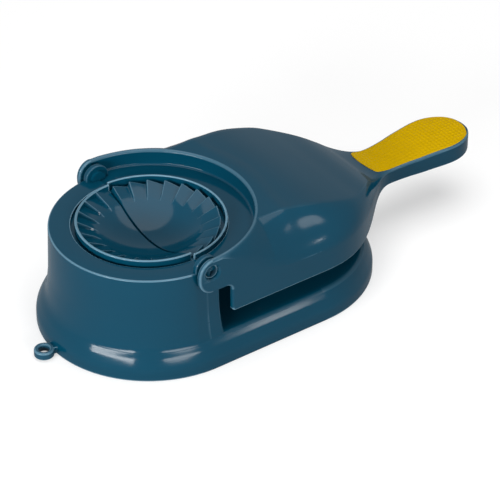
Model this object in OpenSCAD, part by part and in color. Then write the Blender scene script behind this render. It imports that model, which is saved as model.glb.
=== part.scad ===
// Dumpling and empanada press: a dough press under a hinged lever, and a two-part
// crimping mould that closes when the lever is folded over.
// Millimetres. X runs from the hanging loop to the handle, Z is up, and the origin
// is on the table below the centre of the round press plates.

/* [Base] */
// Distance from the hinge line, across the mould, to the centre of the press plates
mould_to_press = 73; // [70:1:80]
// Radius of the base's round ends, at its foot
base_r = 62.5; // [61:0.5:66]
// How much narrower the base is at its shoulder than at its foot
base_taper = 3.9; // [2:0.1:5]
// Height of the base's flat top above the table
base_top_z = 17; // [15:0.5:20]
// Height of the base's lower edge above the table, which its feet bridge
rim_gap = 0.5; // [0.3:0.1:1]
// Wall thickness of the moulded base
base_wall = 2.4; // [2:0.1:3]
// Outer radius of the hanging loop
loop_r = 5.5; // [5:0.1:6.5]
// Radius of the hole in the hanging loop
loop_hole_r = 3; // [2.5:0.1:3.5]
// Thickness of the hanging loop
loop_t = 4.5; // [3:0.5:6]
// Distance from the base's edge to the centre of the loop's hole
loop_reach = 6; // [5:0.1:7]

/* [Pot] */
// Outer radius of the round pot that carries the fixed mould half
pot_r = 54.2; // [53.8:0.1:54.6]
// Height of the pot's flat top above the table
pot_top_z = 59.3; // [58.6:0.1:59.6]
// Wall thickness of the pot
pot_wall = 2.5; // [2:0.1:3]
// Inner radius of the pot's flat top, round the mould's rim
pot_mouth_r = 42.7; // [42.4:0.1:43]

/* [Hinge] */
// Height of the hinge line above the table
hinge_z = 60; // [59.8:0.1:60.4]
// Radius of the round top of each hinge lug
lug_r = 7.2; // [6.5:0.1:7.4]
// Thickness of each hinge lug
lug_t = 3.2; // [3:0.1:3.4]
// Distance from the middle plane to the outer face of each lug
lug_face_y = 54; // [53.8:0.1:54.1]
// Radius of the hinge pins
pin_r = 4.15; // [3.8:0.05:4.4]
// Radial clearance of the lever's ears on the pins
pin_clear = 0.05; // [0.03:0.01:0.08]
// How deep each pin is pressed into its lug
pin_press = 2.4; // [2:0.1:2.6]
// How far each pin stands out of its lug
pin_stand = 3.3; // [3:0.1:4]
// Front radius of the lever's ears
ear_r = 9.5; // [9:0.1:10]
// How far the ears reach below the hinge line
ear_drop = 12.5; // [11.5:0.1:13]
// Depth of the bevel round each ear's hole
ear_bevel = 0.9; // [0.5:0.1:1.2]

/* [Mould] */
// Outer radius of the crimped pleats
pleat_r = 38; // [37.6:0.1:38.2]
// Number of pleats round the whole mould
pleat_count = 24; // [16:4:32]
// Height of the lower edge of each pleat above the table
pleat_low_z = 57.3; // [57:0.1:57.6]
// Height of the upper edge of each pleat above the table
pleat_high_z = 61.2; // [60.6:0.1:61.4]
// Depth of the mould's bowl below the hinge line
bowl_depth = 13.4; // [11:0.2:15]
// Radius of the bowl's round bottom
bowl_sphere_r = 43.5; // [42:0.5:46]
// Wall thickness of the mould halves
mould_wall = 2.2; // [1.8:0.1:2.6]
// Outer radius of the fixed half's rim
fixed_rim_r = 40; // [39.8:0.1:40.2]
// Thickness of the fixed half's rim
fixed_rim_t = 1.5; // [1.2:0.1:1.6]
// Height of the fixed half's rim above the table
fixed_rim_z = 61.9; // [61.5:0.1:62]
// Outer radius of the moving half's rim
moving_rim_r = 42; // [41.9:0.1:42.1]
// Thickness of the moving half's rim
moving_rim_t = 1.3; // [1:0.1:1.4]
// Height of the moving half's rim above the table
moving_rim_z = 61.8; // [61.5:0.1:62]
// Outer radius of the flanges that hold the mould halves
flange_r = 49; // [48:0.5:49.5]
// Thickness of those flanges
flange_t = 2.4; // [2:0.1:2.8]
// Width of the gap between the mould halves at the hinge plane
split_gap = 0.5; // [0.4:0.1:0.8]

/* [Lever] */
// Outer radius of the collar round the mould, and half the lever's width
collar_r = 59.3; // [59:0.1:60]
// Wall thickness of the collar and the ears
collar_wall = 3; // [2.6:0.1:3.2]
// Height of the collar's top above the table
collar_top_z = 68; // [67:0.5:70]
// Height of the trough's floor between the collar and the mould
trough_z = 58.6; // [58.2:0.1:58.8]
// Thickness of the trough's floor
trough_t = 2.4; // [2:0.1:2.6]
// Wall thickness of the lever's cap and handle
lever_wall = 2.4; // [2:0.1:2.8]
// Height of the skirt's lower edge above the table
skirt_z = 30; // [28:0.5:32]
// Distance from the hinge line to the front edge of the skirt
skirt_front = 12.3; // [11.5:0.1:14]
// Width of the notch between each ear and the skirt
notch_w = 7.9; // [6:0.1:8.2]
// How far the cap reaches behind the centre of the press plates
cap_reach = 60.5; // [58:0.5:62]
// Height of the top of the neck, where the cap becomes the handle
neck_z = 41.2; // [40:0.2:43]
// Distance from the press centre to the end of the handle
handle_reach = 147; // [140:1:156]
// Half the handle's width at the neck
neck_half_w = 12.4; // [11:0.2:14]
// Half the handle's width at its broadest
handle_half_w = 17; // [15:0.2:19]
// Length of the handle's rounded end
tip_r = 19; // [16:0.5:22]
// How far the lever's crowned top stands above its ridges
crown_h = 1; // [0:0.1:1.5]
// Thickness of the soft grip pad
grip_t = 2.6; // [2:0.1:3]
// How far the grip pad stands proud of the handle
grip_proud = 0.4; // [0.2:0.1:0.6]
// Distance from the cap's rear wall to the tip of the grip pad's nose
grip_start = 8; // [6:0.5:12]
// Length of the grip pad's rounded nose
grip_nose = 22; // [16:1:28]
// Radius of the grip pad's rounded end
grip_end_r = 15; // [12:0.5:18]
// Width of the blue border round the grip pad
grip_border = 1.3; // [1:0.1:2]
// Clearance round the grip pad in its pocket
grip_clear = 0.12; // [0.08:0.02:0.2]

/* [Press] */
// Radius of the press plates
plate_r = 42; // [40:0.5:43]
// Thickness of the press plates
plate_t = 3; // [2.5:0.1:4]
// Thickness of the dough sheet that the closed plates leave
dough_t = 1.5; // [1:0.1:2.5]
// Gap left between the stop rim and the upper plate
stop_gap = 0.3; // [0.2:0.05:0.4]
// Height of the wall round the back of the upper plate
plate_wall_h = 7; // [6:0.5:8]
// Distance from the plates' centre to the screws of the upper plate
post_r = 47; // [46.5:0.1:47.5]

/* [Fasteners and feet] */
// Radius of the screws' shanks
screw_r = 1.45; // [1.3:0.05:1.6]
// Radius of the screws' washer heads
screw_head_r = 3.9; // [3.7:0.1:4.1]
// Height of the screws' heads
screw_head_h = 1.8; // [1.4:0.1:2.2]
// Radius of the moulded bosses that take the screws
boss_r = 2.9; // [2.7:0.1:3.1]
// Clearance round bosses and shanks, where they pass through a hole
hole_clear = 0.15; // [0.1:0.01:0.25]
// Radius of the rubber feet
foot_r = 8; // [6:0.5:9]
// Thickness of the rubber feet's discs
foot_t = 2.2; // [1.6:0.1:3]
// Radius of the stems that hold the feet
foot_stem_r = 2.5; // [2:0.1:3]

/* [Hidden] */

// Colours, as the object shows them
blue = "#2C5266";
deep_blue = "#1F4558";
mustard = "#C9A300";
steel = "#B8BCBF";
black_rubber = "#2A2A2A";

over = 1;        // how far a cut reaches past the face it opens
grain = 0.4;     // overlap that joins two features of one moulding
fine = 96;       // facets of the large round forms
small = 32;      // facets of the small round forms

near_far = [-1, 1];
base_under_z = base_top_z - base_wall;
pot_in_r = pot_r - pot_wall;
pot_under_z = pot_top_z - pot_wall;
lug_in_y = lug_face_y - lug_t;
ear_in_y = collar_r - collar_wall;
trough_under_z = trough_z - trough_t;
lever_wall_x = mould_to_press + cap_reach;
handle_end_x = mould_to_press + handle_reach;
loop_x = -base_r - loop_reach;

// Everything below is built round the mould's axis, and moved so that the press
// centre comes to the origin.
module from_mould() {
    translate([-mould_to_press, 0, 0]) children();
}

// ---------- general forms ----------

// A solid of revolution through half a turn; side = -1 is the front half, 1 the rear
module half_turn(side, profile) {
    rotate([0, 0, side > 0 ? -90 : 90])
        rotate_extrude(angle = 180, $fn = fine) polygon(profile);
}

// The half profile carried round the whole outline of the base: two half turns and
// the straight stretch between them
module round_base(profile) {
    mirrored = [for (i = [len(profile) - 1:-1:0]) [-profile[i][0], profile[i][1]]];
    half_turn(-1, profile);
    translate([mould_to_press, 0, 0]) half_turn(1, profile);
    rotate([90, 0, 90]) linear_extrude(mould_to_press) polygon(concat(profile, mirrored));
}

// Skin through closed rings of equally many points, each ring in a plane of constant X
module loft(rings) {
    n = len(rings[0]);
    m = len(rings);
    sides = [for (i = [0:m - 2], j = [0:n - 1])
        let (a = i * n + j, b = i * n + (j + 1) % n)
            each [[a, b, b + n], [a, b + n, a + n]]];
    first = [for (j = [n - 1:-1:0]) j];
    last = [for (j = [0:n - 1]) (m - 1) * n + j];
    polyhedron([for (r = rings) each r], concat([first], sides, [last]), convexity = 8);
}

// Smooth curve through knots [place, value]: a cubic with the chord slopes
function knot_at(x, k, i = 0) =
    i >= len(k) - 2 || x < k[i + 1][0] ? i : knot_at(x, k, i + 1);
function chord_slope(k, i) =
    let (a = max(i - 1, 0), b = min(i + 1, len(k) - 1))
        (k[b][1] - k[a][1]) / (k[b][0] - k[a][0]);
function curve(x, k) =
    let (i = knot_at(x, k),
         h = k[i + 1][0] - k[i][0],
         t = min(1, max(0, (x - k[i][0]) / h)),
         rise = t * t * (3 - 2 * t))
        k[i][1] * (1 - rise) + k[i + 1][1] * rise
        + h * chord_slope(k, i) * t * (1 - t) * (1 - t)
        - h * chord_slope(k, i + 1) * t * t * (1 - t);

// Places of a ring of screws: radius, first angle, step, count
function ring_places(r, first, step, count) =
    [for (i = [0:count - 1]) [r * cos(first + i * step), r * sin(first + i * step)]];

// A washer-head screw that points up, its head below height z
module screw_up(place, z, reach) {
    translate([place[0], place[1], z - screw_head_h]) {
        cylinder(h = screw_head_h, r = screw_head_r, $fn = small);
        cylinder(h = screw_head_h + reach, r = screw_r, $fn = small);
    }
}

// ---------- base ----------

// Flared outside of the base: foot edge, convex wall, rounded shoulder, flat top
shoulder_r = base_r - base_taper;
shoulder_z = base_top_z - 3;
function flare(t) =
    let (foot = [base_r, rim_gap],
         bulge = [base_r - base_taper * 0.4, base_top_z * 0.47],
         top = [shoulder_r, shoulder_z])
        foot * (1 - t) * (1 - t) + bulge * 2 * t * (1 - t) + top * t * t;
function flared_profile(inset, low_z) = concat(
    [[0, low_z]],
    [for (t = [0:0.2:1]) [flare(t)[0] - inset, t == 0 ? low_z : flare(t)[1] - inset * 0.6]],
    [for (a = [30:30:90])
        [shoulder_r - inset - 3 + 3 * cos(a), shoulder_z - inset + 3 * sin(a)]],
    [[0, base_top_z - inset]]);

// Pot wall with its flat top and the concave foot that runs into the base
foot_fillet = 4;
pot_profile = concat(
    [[pot_in_r, base_top_z - base_wall], [pot_r + foot_fillet, base_top_z - base_wall],
     [pot_r + foot_fillet, base_top_z - grain]],
    [for (a = [0:22.5:90])
        [pot_r + foot_fillet - foot_fillet * sin(a),
         base_top_z - grain + foot_fillet - foot_fillet * cos(a)]],
    [[pot_r, pot_top_z - 0.8], [pot_r - 0.25, pot_top_z - 0.25], [pot_r - 0.8, pot_top_z],
     [pot_mouth_r + 0.4, pot_top_z], [pot_mouth_r, pot_top_z - 0.4],
     [pot_mouth_r, pot_under_z], [pot_in_r, pot_under_z]]);

mould_screw_r = (pot_mouth_r + pot_in_r) / 2 - 1;
mould_screw_turn = 65;
fixed_screws = ring_places(mould_screw_r, 180 - mould_screw_turn, mould_screw_turn, 3);
moving_screws = ring_places(mould_screw_r, -mould_screw_turn, mould_screw_turn, 3);
plate_screws = [for (p = ring_places(plate_r * 0.7, 45, 90, 4)) p + [mould_to_press, 0]];
foot_in = foot_r + base_wall + 0.6;
foot_front_x = -(base_r - foot_in) * cos(45);
foot_side_y = (base_r - foot_in) * sin(45);
foot_rear_x = mould_to_press - foot_front_x;
foot_post_r = foot_stem_r + 1.8;
stem_top_z = base_under_z - 2;

// Tombstone-shaped lug: straight sides up to the hinge line and a round top
module hinge_lug(side) {
    low_z = base_top_z - grain;
    translate([0, side > 0 ? lug_face_y : -lug_in_y, 0]) rotate([90, 0, 0])
        linear_extrude(lug_t) {
            translate([0, hinge_z]) circle(lug_r, $fn = 64);
            translate([-lug_r, low_z]) square([2 * lug_r, hinge_z - low_z]);
        }
}

module hanging_loop() {
    neck_w = 2 * loop_r * 0.62;
    translate([loop_x, 0, rim_gap]) cylinder(h = loop_t, r = loop_r, $fn = 64);
    translate([loop_x, -neck_w / 2, rim_gap]) cube([loop_reach + base_wall / 2, neck_w, loop_t]);
}

module base_tray() {
    color(blue) from_mould() difference() {
        union() {
            difference() {
                round_base(flared_profile(0, rim_gap));
                round_base(flared_profile(base_wall, rim_gap - over));
                // the pot is open to below in front of the hinge line
                half_turn(-1, [[0, 0], [pot_in_r, 0], [pot_in_r, base_top_z + over],
                               [0, base_top_z + over]]);
            }
            half_turn(-1, pot_profile);
            for (side = near_far) hinge_lug(side);
            hanging_loop();
            for (p = fixed_screws)
                translate([p[0], p[1], pot_under_z - flange_t - 0.1])
                    cylinder(h = flange_t + 0.1 + grain, r = boss_r, $fn = small);
            for (x = [foot_front_x, foot_rear_x], y = near_far * foot_side_y)
                translate([x, y, foot_t])
                    cylinder(h = base_top_z - grain - foot_t, r = foot_post_r, $fn = small);
        }
        for (side = near_far)
            translate([0, side * (lug_face_y - pin_press), hinge_z]) rotate([-90 * side, 0, 0])
                cylinder(h = pin_press + over, r = pin_r, $fn = small);
        translate([loop_x, 0, rim_gap - over])
            cylinder(h = loop_t + 2 * over, r = loop_hole_r, $fn = small);
        for (p = fixed_screws)
            translate([p[0], p[1], pot_under_z - flange_t - over])
                cylinder(h = flange_t + over + 1.6, r = screw_r, $fn = small);
        for (p = plate_screws)
            translate([p[0], p[1], base_under_z - over])
                cylinder(h = base_wall + 2 * over, r = boss_r + hole_clear, $fn = small);
        for (x = [foot_front_x, foot_rear_x], y = near_far * foot_side_y)
            translate([x, y, foot_t - over])
                cylinder(h = stem_top_z - foot_t + over, r = foot_stem_r, $fn = small);
    }
}

module foot(x, y) {
    color(black_rubber) from_mould() translate([x, y, 0]) {
        cylinder(h = foot_t, r = foot_r, $fn = small);
        cylinder(h = stem_top_z - 1, r = foot_stem_r, $fn = small);
    }
}

module hinge_pin(side) {
    color(deep_blue) from_mould()
        translate([0, side * (lug_face_y - pin_press), hinge_z]) rotate([-90 * side, 0, 0]) {
            cylinder(h = pin_press + pin_stand - 0.5, r = pin_r, $fn = small);
            translate([0, 0, pin_press + pin_stand - 0.5])
                cylinder(h = 0.5, r1 = pin_r, r2 = pin_r - 0.5, $fn = small);
        }
}

// ---------- crimping mould ----------

pleat_step = 360 / pleat_count;
bowl_bottom_z = hinge_z - bowl_depth;

// Height of the bowl's round bottom at radius r
function bowl_z(r) =
    bowl_bottom_z + bowl_sphere_r - sqrt(bowl_sphere_r * bowl_sphere_r - r * r);
// Height of a pleat at turn 0 to 1 through it: it rises slowly and drops at its end
function pleat_z(turn) =
    pleat_low_z + (pleat_high_z - pleat_low_z) * (turn < 0.93 ? turn / 0.93 : (1 - turn) / 0.07);
function mould_z(r, turn) = min(bowl_z(r), pleat_z(turn));

// Half of the bowl and its pleats, as a skin of even thickness; the first ring of
// points is the split plane's near edge, or its far edge on the front half
module mould_skin(side, outer_r) {
    radii = concat([for (i = [0:7]) i * 3.2 + 0.6], [for (i = [0:7]) 25.5 + i * (outer_r - 25.5) / 7]);
    turns = [for (k = [0:pleat_count / 2 - 1], t = [0, 0.31, 0.62, 0.93])
                (k + t) * pleat_step];
    start = side > 0 ? -90 : 90;
    angles = concat(turns, [180]);
    n = len(radii);
    m = len(angles);
    top = [for (a = angles, r = radii)
        let (turn = (a / pleat_step) % 1)
            [r * cos(start + a), r * sin(start + a),
             mould_z(r, a == 180 ? 0 : turn)]];
    under = [for (p = top) [p[0], p[1],
        min(bowl_z(norm([p[0], p[1]])), pleat_low_z) - mould_wall]];
    count = len(top);
    quads = [for (i = [0:m - 2], j = [0:n - 2]) [i * n + j, i * n + j + 1, (i + 1) * n + j + 1, (i + 1) * n + j]];
    upper = [for (q = quads) each [[q[0], q[3], q[2]], [q[0], q[2], q[1]]]];
    lower = [for (q = quads) each [[q[0] + count, q[2] + count, q[3] + count],
                                   [q[0] + count, q[1] + count, q[2] + count]]];
    edge = concat([for (j = [0:n - 1]) j], [for (i = [1:m - 1]) i * n + n - 1],
                  [for (j = [n - 2:-1:0]) (m - 1) * n + j], [for (i = [m - 2:-1:1]) i * n]);
    around = [for (i = [0:len(edge) - 1])
        let (a = edge[i], b = edge[(i + 1) % len(edge)])
            each [[a, b, b + count], [a, b + count, a + count]]];
    translate([side * split_gap / 2, 0, 0])
        polyhedron(concat(top, under), concat(upper, lower, around), convexity = 10);
}

// Rim, groove floor and flange of a mould half
module mould_ring(side, rim_r, rim_t, rim_z, in_r, under_z) {
    floor_z = under_z - flange_t;
    difference() {
        half_turn(side, [
            [in_r, floor_z], [flange_r, floor_z], [flange_r, under_z],
            [rim_r, under_z], [rim_r, rim_z - 0.5], [rim_r - rim_t / 2, rim_z],
            [rim_r - rim_t, rim_z - 0.5], [rim_r - rim_t, under_z + 0.2], [in_r, under_z + 0.2]]);
        translate([-side * flange_r + side * split_gap / 2 - flange_r, -2 * flange_r, 0])
            cube([2 * flange_r, 4 * flange_r, collar_top_z]);
    }
}

module mould_half(side, rim_r, rim_t, rim_z, skin_r, under_z, screws) {
    color(blue) from_mould() difference() {
        union() {
            mould_skin(side, skin_r);
            mould_ring(side, rim_r, rim_t, rim_z, skin_r - 1.6, under_z);
        }
        for (p = screws)
            translate([p[0], p[1], under_z - flange_t - over])
                cylinder(h = flange_t + 2 * over, r = boss_r + hole_clear, $fn = small);
    }
}

module fixed_mould_half() {
    mould_half(-1, fixed_rim_r, fixed_rim_t, fixed_rim_z, fixed_rim_r - fixed_rim_t + 0.3,
               pot_under_z, fixed_screws);
}

module moving_mould_half() {
    mould_half(1, moving_rim_r, moving_rim_t, moving_rim_z, pleat_r,
               trough_under_z, moving_screws);
}

module mould_screws(places, under_z) {
    color(steel) from_mould()
        for (p = places) screw_up(p, under_z - flange_t - 0.1, flange_t + 1.5);
}

// ---------- press plates ----------

lower_plate_z = base_top_z + plate_t;
upper_plate_z = lower_plate_z + dough_t;
ear_plate_t = 3;
post_screw_grip = 8;
ear_below_wall = 0.5;
post_end_z = upper_plate_z + plate_t + plate_wall_h - ear_below_wall;
posts = [for (a = [55, 125, 235, 305]) [post_r * cos(a) + mould_to_press, post_r * sin(a)]];

module lower_press_plate() {
    stop_w = 1.5;
    color(deep_blue) {
        translate([0, 0, base_top_z]) cylinder(h = plate_t, r = plate_r, $fn = fine);
        difference() {
            translate([0, 0, lower_plate_z - grain])
                cylinder(h = dough_t - stop_gap + grain, r = plate_r, $fn = fine);
            translate([0, 0, lower_plate_z - 2 * grain])
                cylinder(h = dough_t + over, r = plate_r - stop_w, $fn = fine);
        }
        from_mould() difference() {
            for (p = plate_screws)
                translate([p[0], p[1], base_under_z - 0.1])
                    cylinder(h = base_wall + 0.1 + grain, r = boss_r, $fn = small);
            for (p = plate_screws)
                translate([p[0], p[1], base_under_z - over])
                    cylinder(h = base_wall + over - 0.4, r = screw_r, $fn = small);
        }
    }
}

module lower_plate_screws() {
    color(steel) from_mould()
        for (p = plate_screws) screw_up(p, base_under_z - 0.1, base_wall - 0.6);
}

module upper_press_plate() {
    wall_t = 2.4;
    arm_w = 1.5 * screw_head_r;
    color(deep_blue) difference() {
        union() {
            difference() {
                translate([0, 0, upper_plate_z])
                    cylinder(h = plate_t + plate_wall_h, r = plate_r, $fn = fine);
                translate([0, 0, upper_plate_z + plate_t])
                    cylinder(h = plate_wall_h + over, r = plate_r - wall_t, $fn = fine);
            }
            from_mould() for (p = posts) {
                turn = atan2(p[1], p[0] - mould_to_press);
                translate([p[0], p[1], post_end_z - ear_plate_t])
                    cylinder(h = ear_plate_t, r = screw_head_r, $fn = small);
                translate([mould_to_press, 0, post_end_z - ear_plate_t]) rotate([0, 0, turn])
                    translate([plate_r - wall_t / 2, -arm_w / 2, 0])
                        cube([post_r - plate_r + wall_t / 2, arm_w, ear_plate_t]);
            }
        }
        from_mould() for (p = posts)
            translate([p[0], p[1], post_end_z - ear_plate_t - over])
                cylinder(h = ear_plate_t + 2 * over, r = screw_r + hole_clear, $fn = small);
    }
}

module upper_plate_screws() {
    color(steel) from_mould()
        for (p = posts) screw_up(p, post_end_z - ear_plate_t, ear_plate_t + post_screw_grip);
}

// ---------- lever ----------

// Place along the lever: 0 at the collar's back, 1 at the cap's rear wall, 2 at the
// end of the handle, and below 0 beside the mould
function along(x) =
    x < lever_wall_x ? (x - collar_r) / (lever_wall_x - collar_r)
                     : 1 + (x - lever_wall_x) / (handle_end_x - lever_wall_x);
function mix(a, b, t) = a + (b - a) * t;

// Top of the flat side wall, as a share of the way from the skirt to the collar's top
side_knots = [[-0.7, 0.95], [-0.48, 0.71], [-0.35, 0.53], [-0.21, 0.434], [-0.1, 0.39],
              [0.1, 0.376], [0.35, 0.375], [0.7, 0.35], [0.9, 0.27], [1.0, 0.21],
              [1.2, 0.15], [2.0, 0.15]];
// The ridge where the shoulder turns into the top: its height, as a share of the way
// from the neck to the collar's top, and its distance from the middle, as a share of
// the half width
ridge_knots = [[-0.6, 0.98], [-0.05, 0.985], [0.05, 0.96], [0.2, 0.9], [0.34, 0.81],
               [0.55, 0.637], [0.68, 0.52], [0.845, 0.378], [0.946, 0.235], [1.0, 0.13],
               [1.06, 0.04], [1.13, -0.03], [1.25, -0.09], [1.45, -0.05], [1.7, -0.02],
               [2.0, -0.04]];
ridge_side_knots = [[-0.25, 0.69], [-0.1, 0.705], [0.05, 0.727], [0.2, 0.75], [0.43, 0.775],
                    [0.6, 0.83], [0.8, 0.84], [0.93, 0.82], [1.02, 0.6], [1.15, 0.5], [2.0, 0.5]];
// How far the spine stands above the ridge, as a share of the crown's height
crown_knots = [[-0.6, 0.3], [0.0, 0.4], [0.3, 1.1], [0.7, 1.0], [0.95, 0.6], [1.1, 0.9],
               [1.5, 1.0], [2.0, 0.8]];
// Half width of the neck and handle, as a share of the way from the neck's to the
// handle's broadest
width_knots = [[0.8, 0.5], [1.0, 0.2], [1.13, 0], [1.29, 0.02], [1.5, 0.6], [1.68, 1.0],
               [1.8, 0.9], [2.0, 0.7]];

function cap_half_w(x, inset) =
    x <= mould_to_press ? collar_r - inset
        : (collar_r - inset)
          * sqrt(max(0, 1 - pow((x - mould_to_press) / (cap_reach - inset), 2)));
function handle_tip(x, inset) =
    let (past = (x - handle_end_x + tip_r) / (tip_r - inset))
        past <= 0 ? 1 : pow(max(0, 1 - pow(past, 2.2)), 0.5);
function stalk_half_w(x, inset) =
    (mix(neck_half_w, handle_half_w, curve(along(x), width_knots)) - inset)
    * handle_tip(x, inset);
function half_w(x, inset) =
    pow(pow(cap_half_w(x, inset), 4) + pow(stalk_half_w(x, inset), 4), 0.25);
function side_z(x) = mix(skirt_z, collar_top_z, curve(along(x), side_knots));
function ridge_z(x) = mix(neck_z, collar_top_z, curve(along(x), ridge_knots));
function ridge_share(x) =
    let (on_collar = sqrt(max(0, 1 - pow(x / collar_r, 2))))
        max(x < collar_r * 0.72 ? on_collar : 0, curve(along(x), ridge_side_knots));
function crown(x) = crown_h * curve(along(x), crown_knots);

// Height of the lever's outer surface at x and y, and one whole section of it:
// up the flat side, round the shoulder and over the crowned top
function top_z(x, y) =
    let (w = half_w(x, 0), r = w * ridge_share(x), d = abs(y))
        d >= r ? side_z(x) + (ridge_z(x) - side_z(x))
                 * sqrt(max(0, 1 - pow((d - r) / max(w - r, 0.01), 2)))
               : ridge_z(x) + crown(x) * (1 - pow(d / max(r, 0.01), 2));
round_steps = 6;
top_steps = 5;
function half_section(x, inset, drop) =
    let (w = half_w(x, inset), r = w * ridge_share(x), z0 = side_z(x) - drop * 0.6)
        concat(
            [for (i = [0:round_steps])
                let (a = i * 90 / round_steps)
                    [r + (w - r) * cos(a), z0 + (ridge_z(x) - drop - z0) * sin(a)]],
            [for (i = [1:top_steps])
                let (y = r * (1 - i / top_steps))
                    [y, ridge_z(x) - drop + crown(x) * (1 - pow(y / max(r, 0.01), 2))]]);
function lever_ring(x, inset, drop, low_z) =
    let (half = half_section(x, inset, drop), w = half_w(x, inset), n = len(half))
        concat([[x, -w, low_z]],
               [for (p = half) [x, -p[0], p[1]]],
               [for (i = [n - 2:-1:0]) [x, half[i][0], half[i][1]]],
               [[x, w, low_z]]);

// Stations are close together where the outline turns fast
neck_l = 9;
function stations(start, inset) = concat(
    [for (x = [start:5:mould_to_press - 4]) x],
    [for (a = [0:6:78]) mould_to_press + (cap_reach - inset) * sin(a)],
    [for (i = [0:3]) lever_wall_x - inset + i * neck_l / 3],
    [for (i = [1:7]) mix(lever_wall_x - inset + neck_l, handle_end_x - tip_r, i / 7)],
    [for (a = [15, 30, 44, 57, 68, 77, 84, 88]) handle_end_x - tip_r + (tip_r - inset) * sin(a)]);

// The pocket under the grip pad is this much deeper than the wall
function under_grip(x) =
    grip_t * min(1, max(0, (x - lever_wall_x) / grip_start));

module lever_outside() {
    loft([for (x = stations(skirt_front, 0)) lever_ring(x, 0, 0, skirt_z)]);
}

module lever_inside() {
    loft([for (x = stations(skirt_front - over, lever_wall))
        lever_ring(x, lever_wall, lever_wall + under_grip(x), skirt_z - over)]);
}

// Outline of the grip pad: a round nose at the neck, and the handle's own outline
grip_start_x = lever_wall_x + grip_start;
grip_end_x = handle_end_x - grip_border * 1.6;
function grip_half_w(x, inset) =
    let (s = min(1, (x - grip_start_x - inset) / grip_nose),
         tail = grip_end_x - inset - x,
         nose = sqrt(max(0, 1 - pow(1 - s, 2))))
        min((stalk_half_w(x, 0) - grip_border - inset) * nose,
            sqrt(max(0, tail * 2 * grip_end_r)));
grip_steps = 6;
function grip_xs(inset) = [for (i = [0:22])
    let (s = (1 - cos(i * 180 / 22)) / 2)
        mix(grip_start_x + inset + 0.15, grip_end_x - inset - 0.15, s)];
// A band that follows the handle's surface, from depth low to height high
function grip_ring(x, inset, low, high) =
    let (g = grip_half_w(x, inset),
         ys = [for (i = [-grip_steps:grip_steps]) g * sin(i * 90 / grip_steps)])
        concat([for (y = ys) [x, y, top_z(x, y) + high * (abs(y) > g * 0.97 ? 0.3 : 1)]],
               [for (i = [len(ys) - 1:-1:0]) [x, ys[i], top_z(x, ys[i]) + low]]);
grip_screw_xs = [mix(grip_start_x, grip_end_x, 0.28), mix(grip_start_x, grip_end_x, 0.72)];
grip_stud_h = lever_wall + 1.1;
function grip_stud_z(x) = top_z(x, 0) - grip_t - grip_stud_h;
grip_screw_reach = grip_stud_h + 0.5;

module handle_grip() {
    color(mustard) from_mould() difference() {
        union() {
            loft([for (x = grip_xs(grip_clear)) grip_ring(x, grip_clear, -grip_t + 0.05, grip_proud)]);
            for (x = grip_screw_xs)
                translate([x, 0, grip_stud_z(x)])
                    cylinder(h = grip_stud_h + grain, r = boss_r, $fn = small);
        }
        for (x = grip_screw_xs)
            translate([x, 0, grip_stud_z(x) - over])
                cylinder(h = over + grip_screw_reach + 0.2, r = screw_r, $fn = small);
    }
}

module grip_screws() {
    color(steel) from_mould()
        for (x = grip_screw_xs) screw_up([x, 0], grip_stud_z(x), grip_screw_reach);
}

// Collar wall with its round bead, and the trough's floor inside it
module collar() {
    in_r = collar_r - collar_wall;
    bead = collar_wall / 2;
    half_turn(1, concat(
        [[pot_mouth_r - 0.7, trough_under_z], [collar_r - 0.02, trough_under_z]],
        [for (a = [0:30:180])
            [collar_r - 0.02 - bead + bead * cos(a), collar_top_z - bead + bead * sin(a)]],
        [[in_r, trough_z + 0.6], [in_r - 0.6, trough_z], [pot_mouth_r - 0.7, trough_z]]));
}

// Outline of one side: the round ear, the notch behind it and the skirt's front edge
module ear_outline() {
    low_z = hinge_z - ear_drop;
    top = collar_top_z - collar_wall / 2;
    notch_front = skirt_front - notch_w;
    corner = 3.5;
    round_r = min(ear_r, (top - low_z) / 2 - 0.05);
    translate([0, top - round_r]) circle(round_r, $fn = 64);
    translate([0, low_z + round_r]) circle(round_r, $fn = 64);
    translate([-round_r, low_z + round_r]) square([round_r, top - low_z - 2 * round_r]);
    translate([0, low_z]) square([skirt_front - corner, top - low_z]);
    difference() {
        translate([notch_front, low_z - corner]) square([notch_w + 3, top - low_z + corner]);
        translate([notch_front - over, low_z - corner - over])
            square([notch_w - corner + over, corner + over]);
        translate([skirt_front - corner, low_z - corner]) circle(corner, $fn = small);
    }
}

ear_boss_t = 3.3;
module ears() {
    for (side = near_far)
        translate([0, side > 0 ? collar_r : -ear_in_y, 0]) rotate([90, 0, 0])
            linear_extrude(collar_wall) ear_outline();
    for (side = near_far)
        translate([0, side * (lug_face_y + 0.3), hinge_z]) rotate([-90 * side, 0, 0])
            cylinder(h = ear_in_y - lug_face_y - 0.3 + grain, r = pin_r + ear_boss_t, $fn = 48);
}

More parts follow.
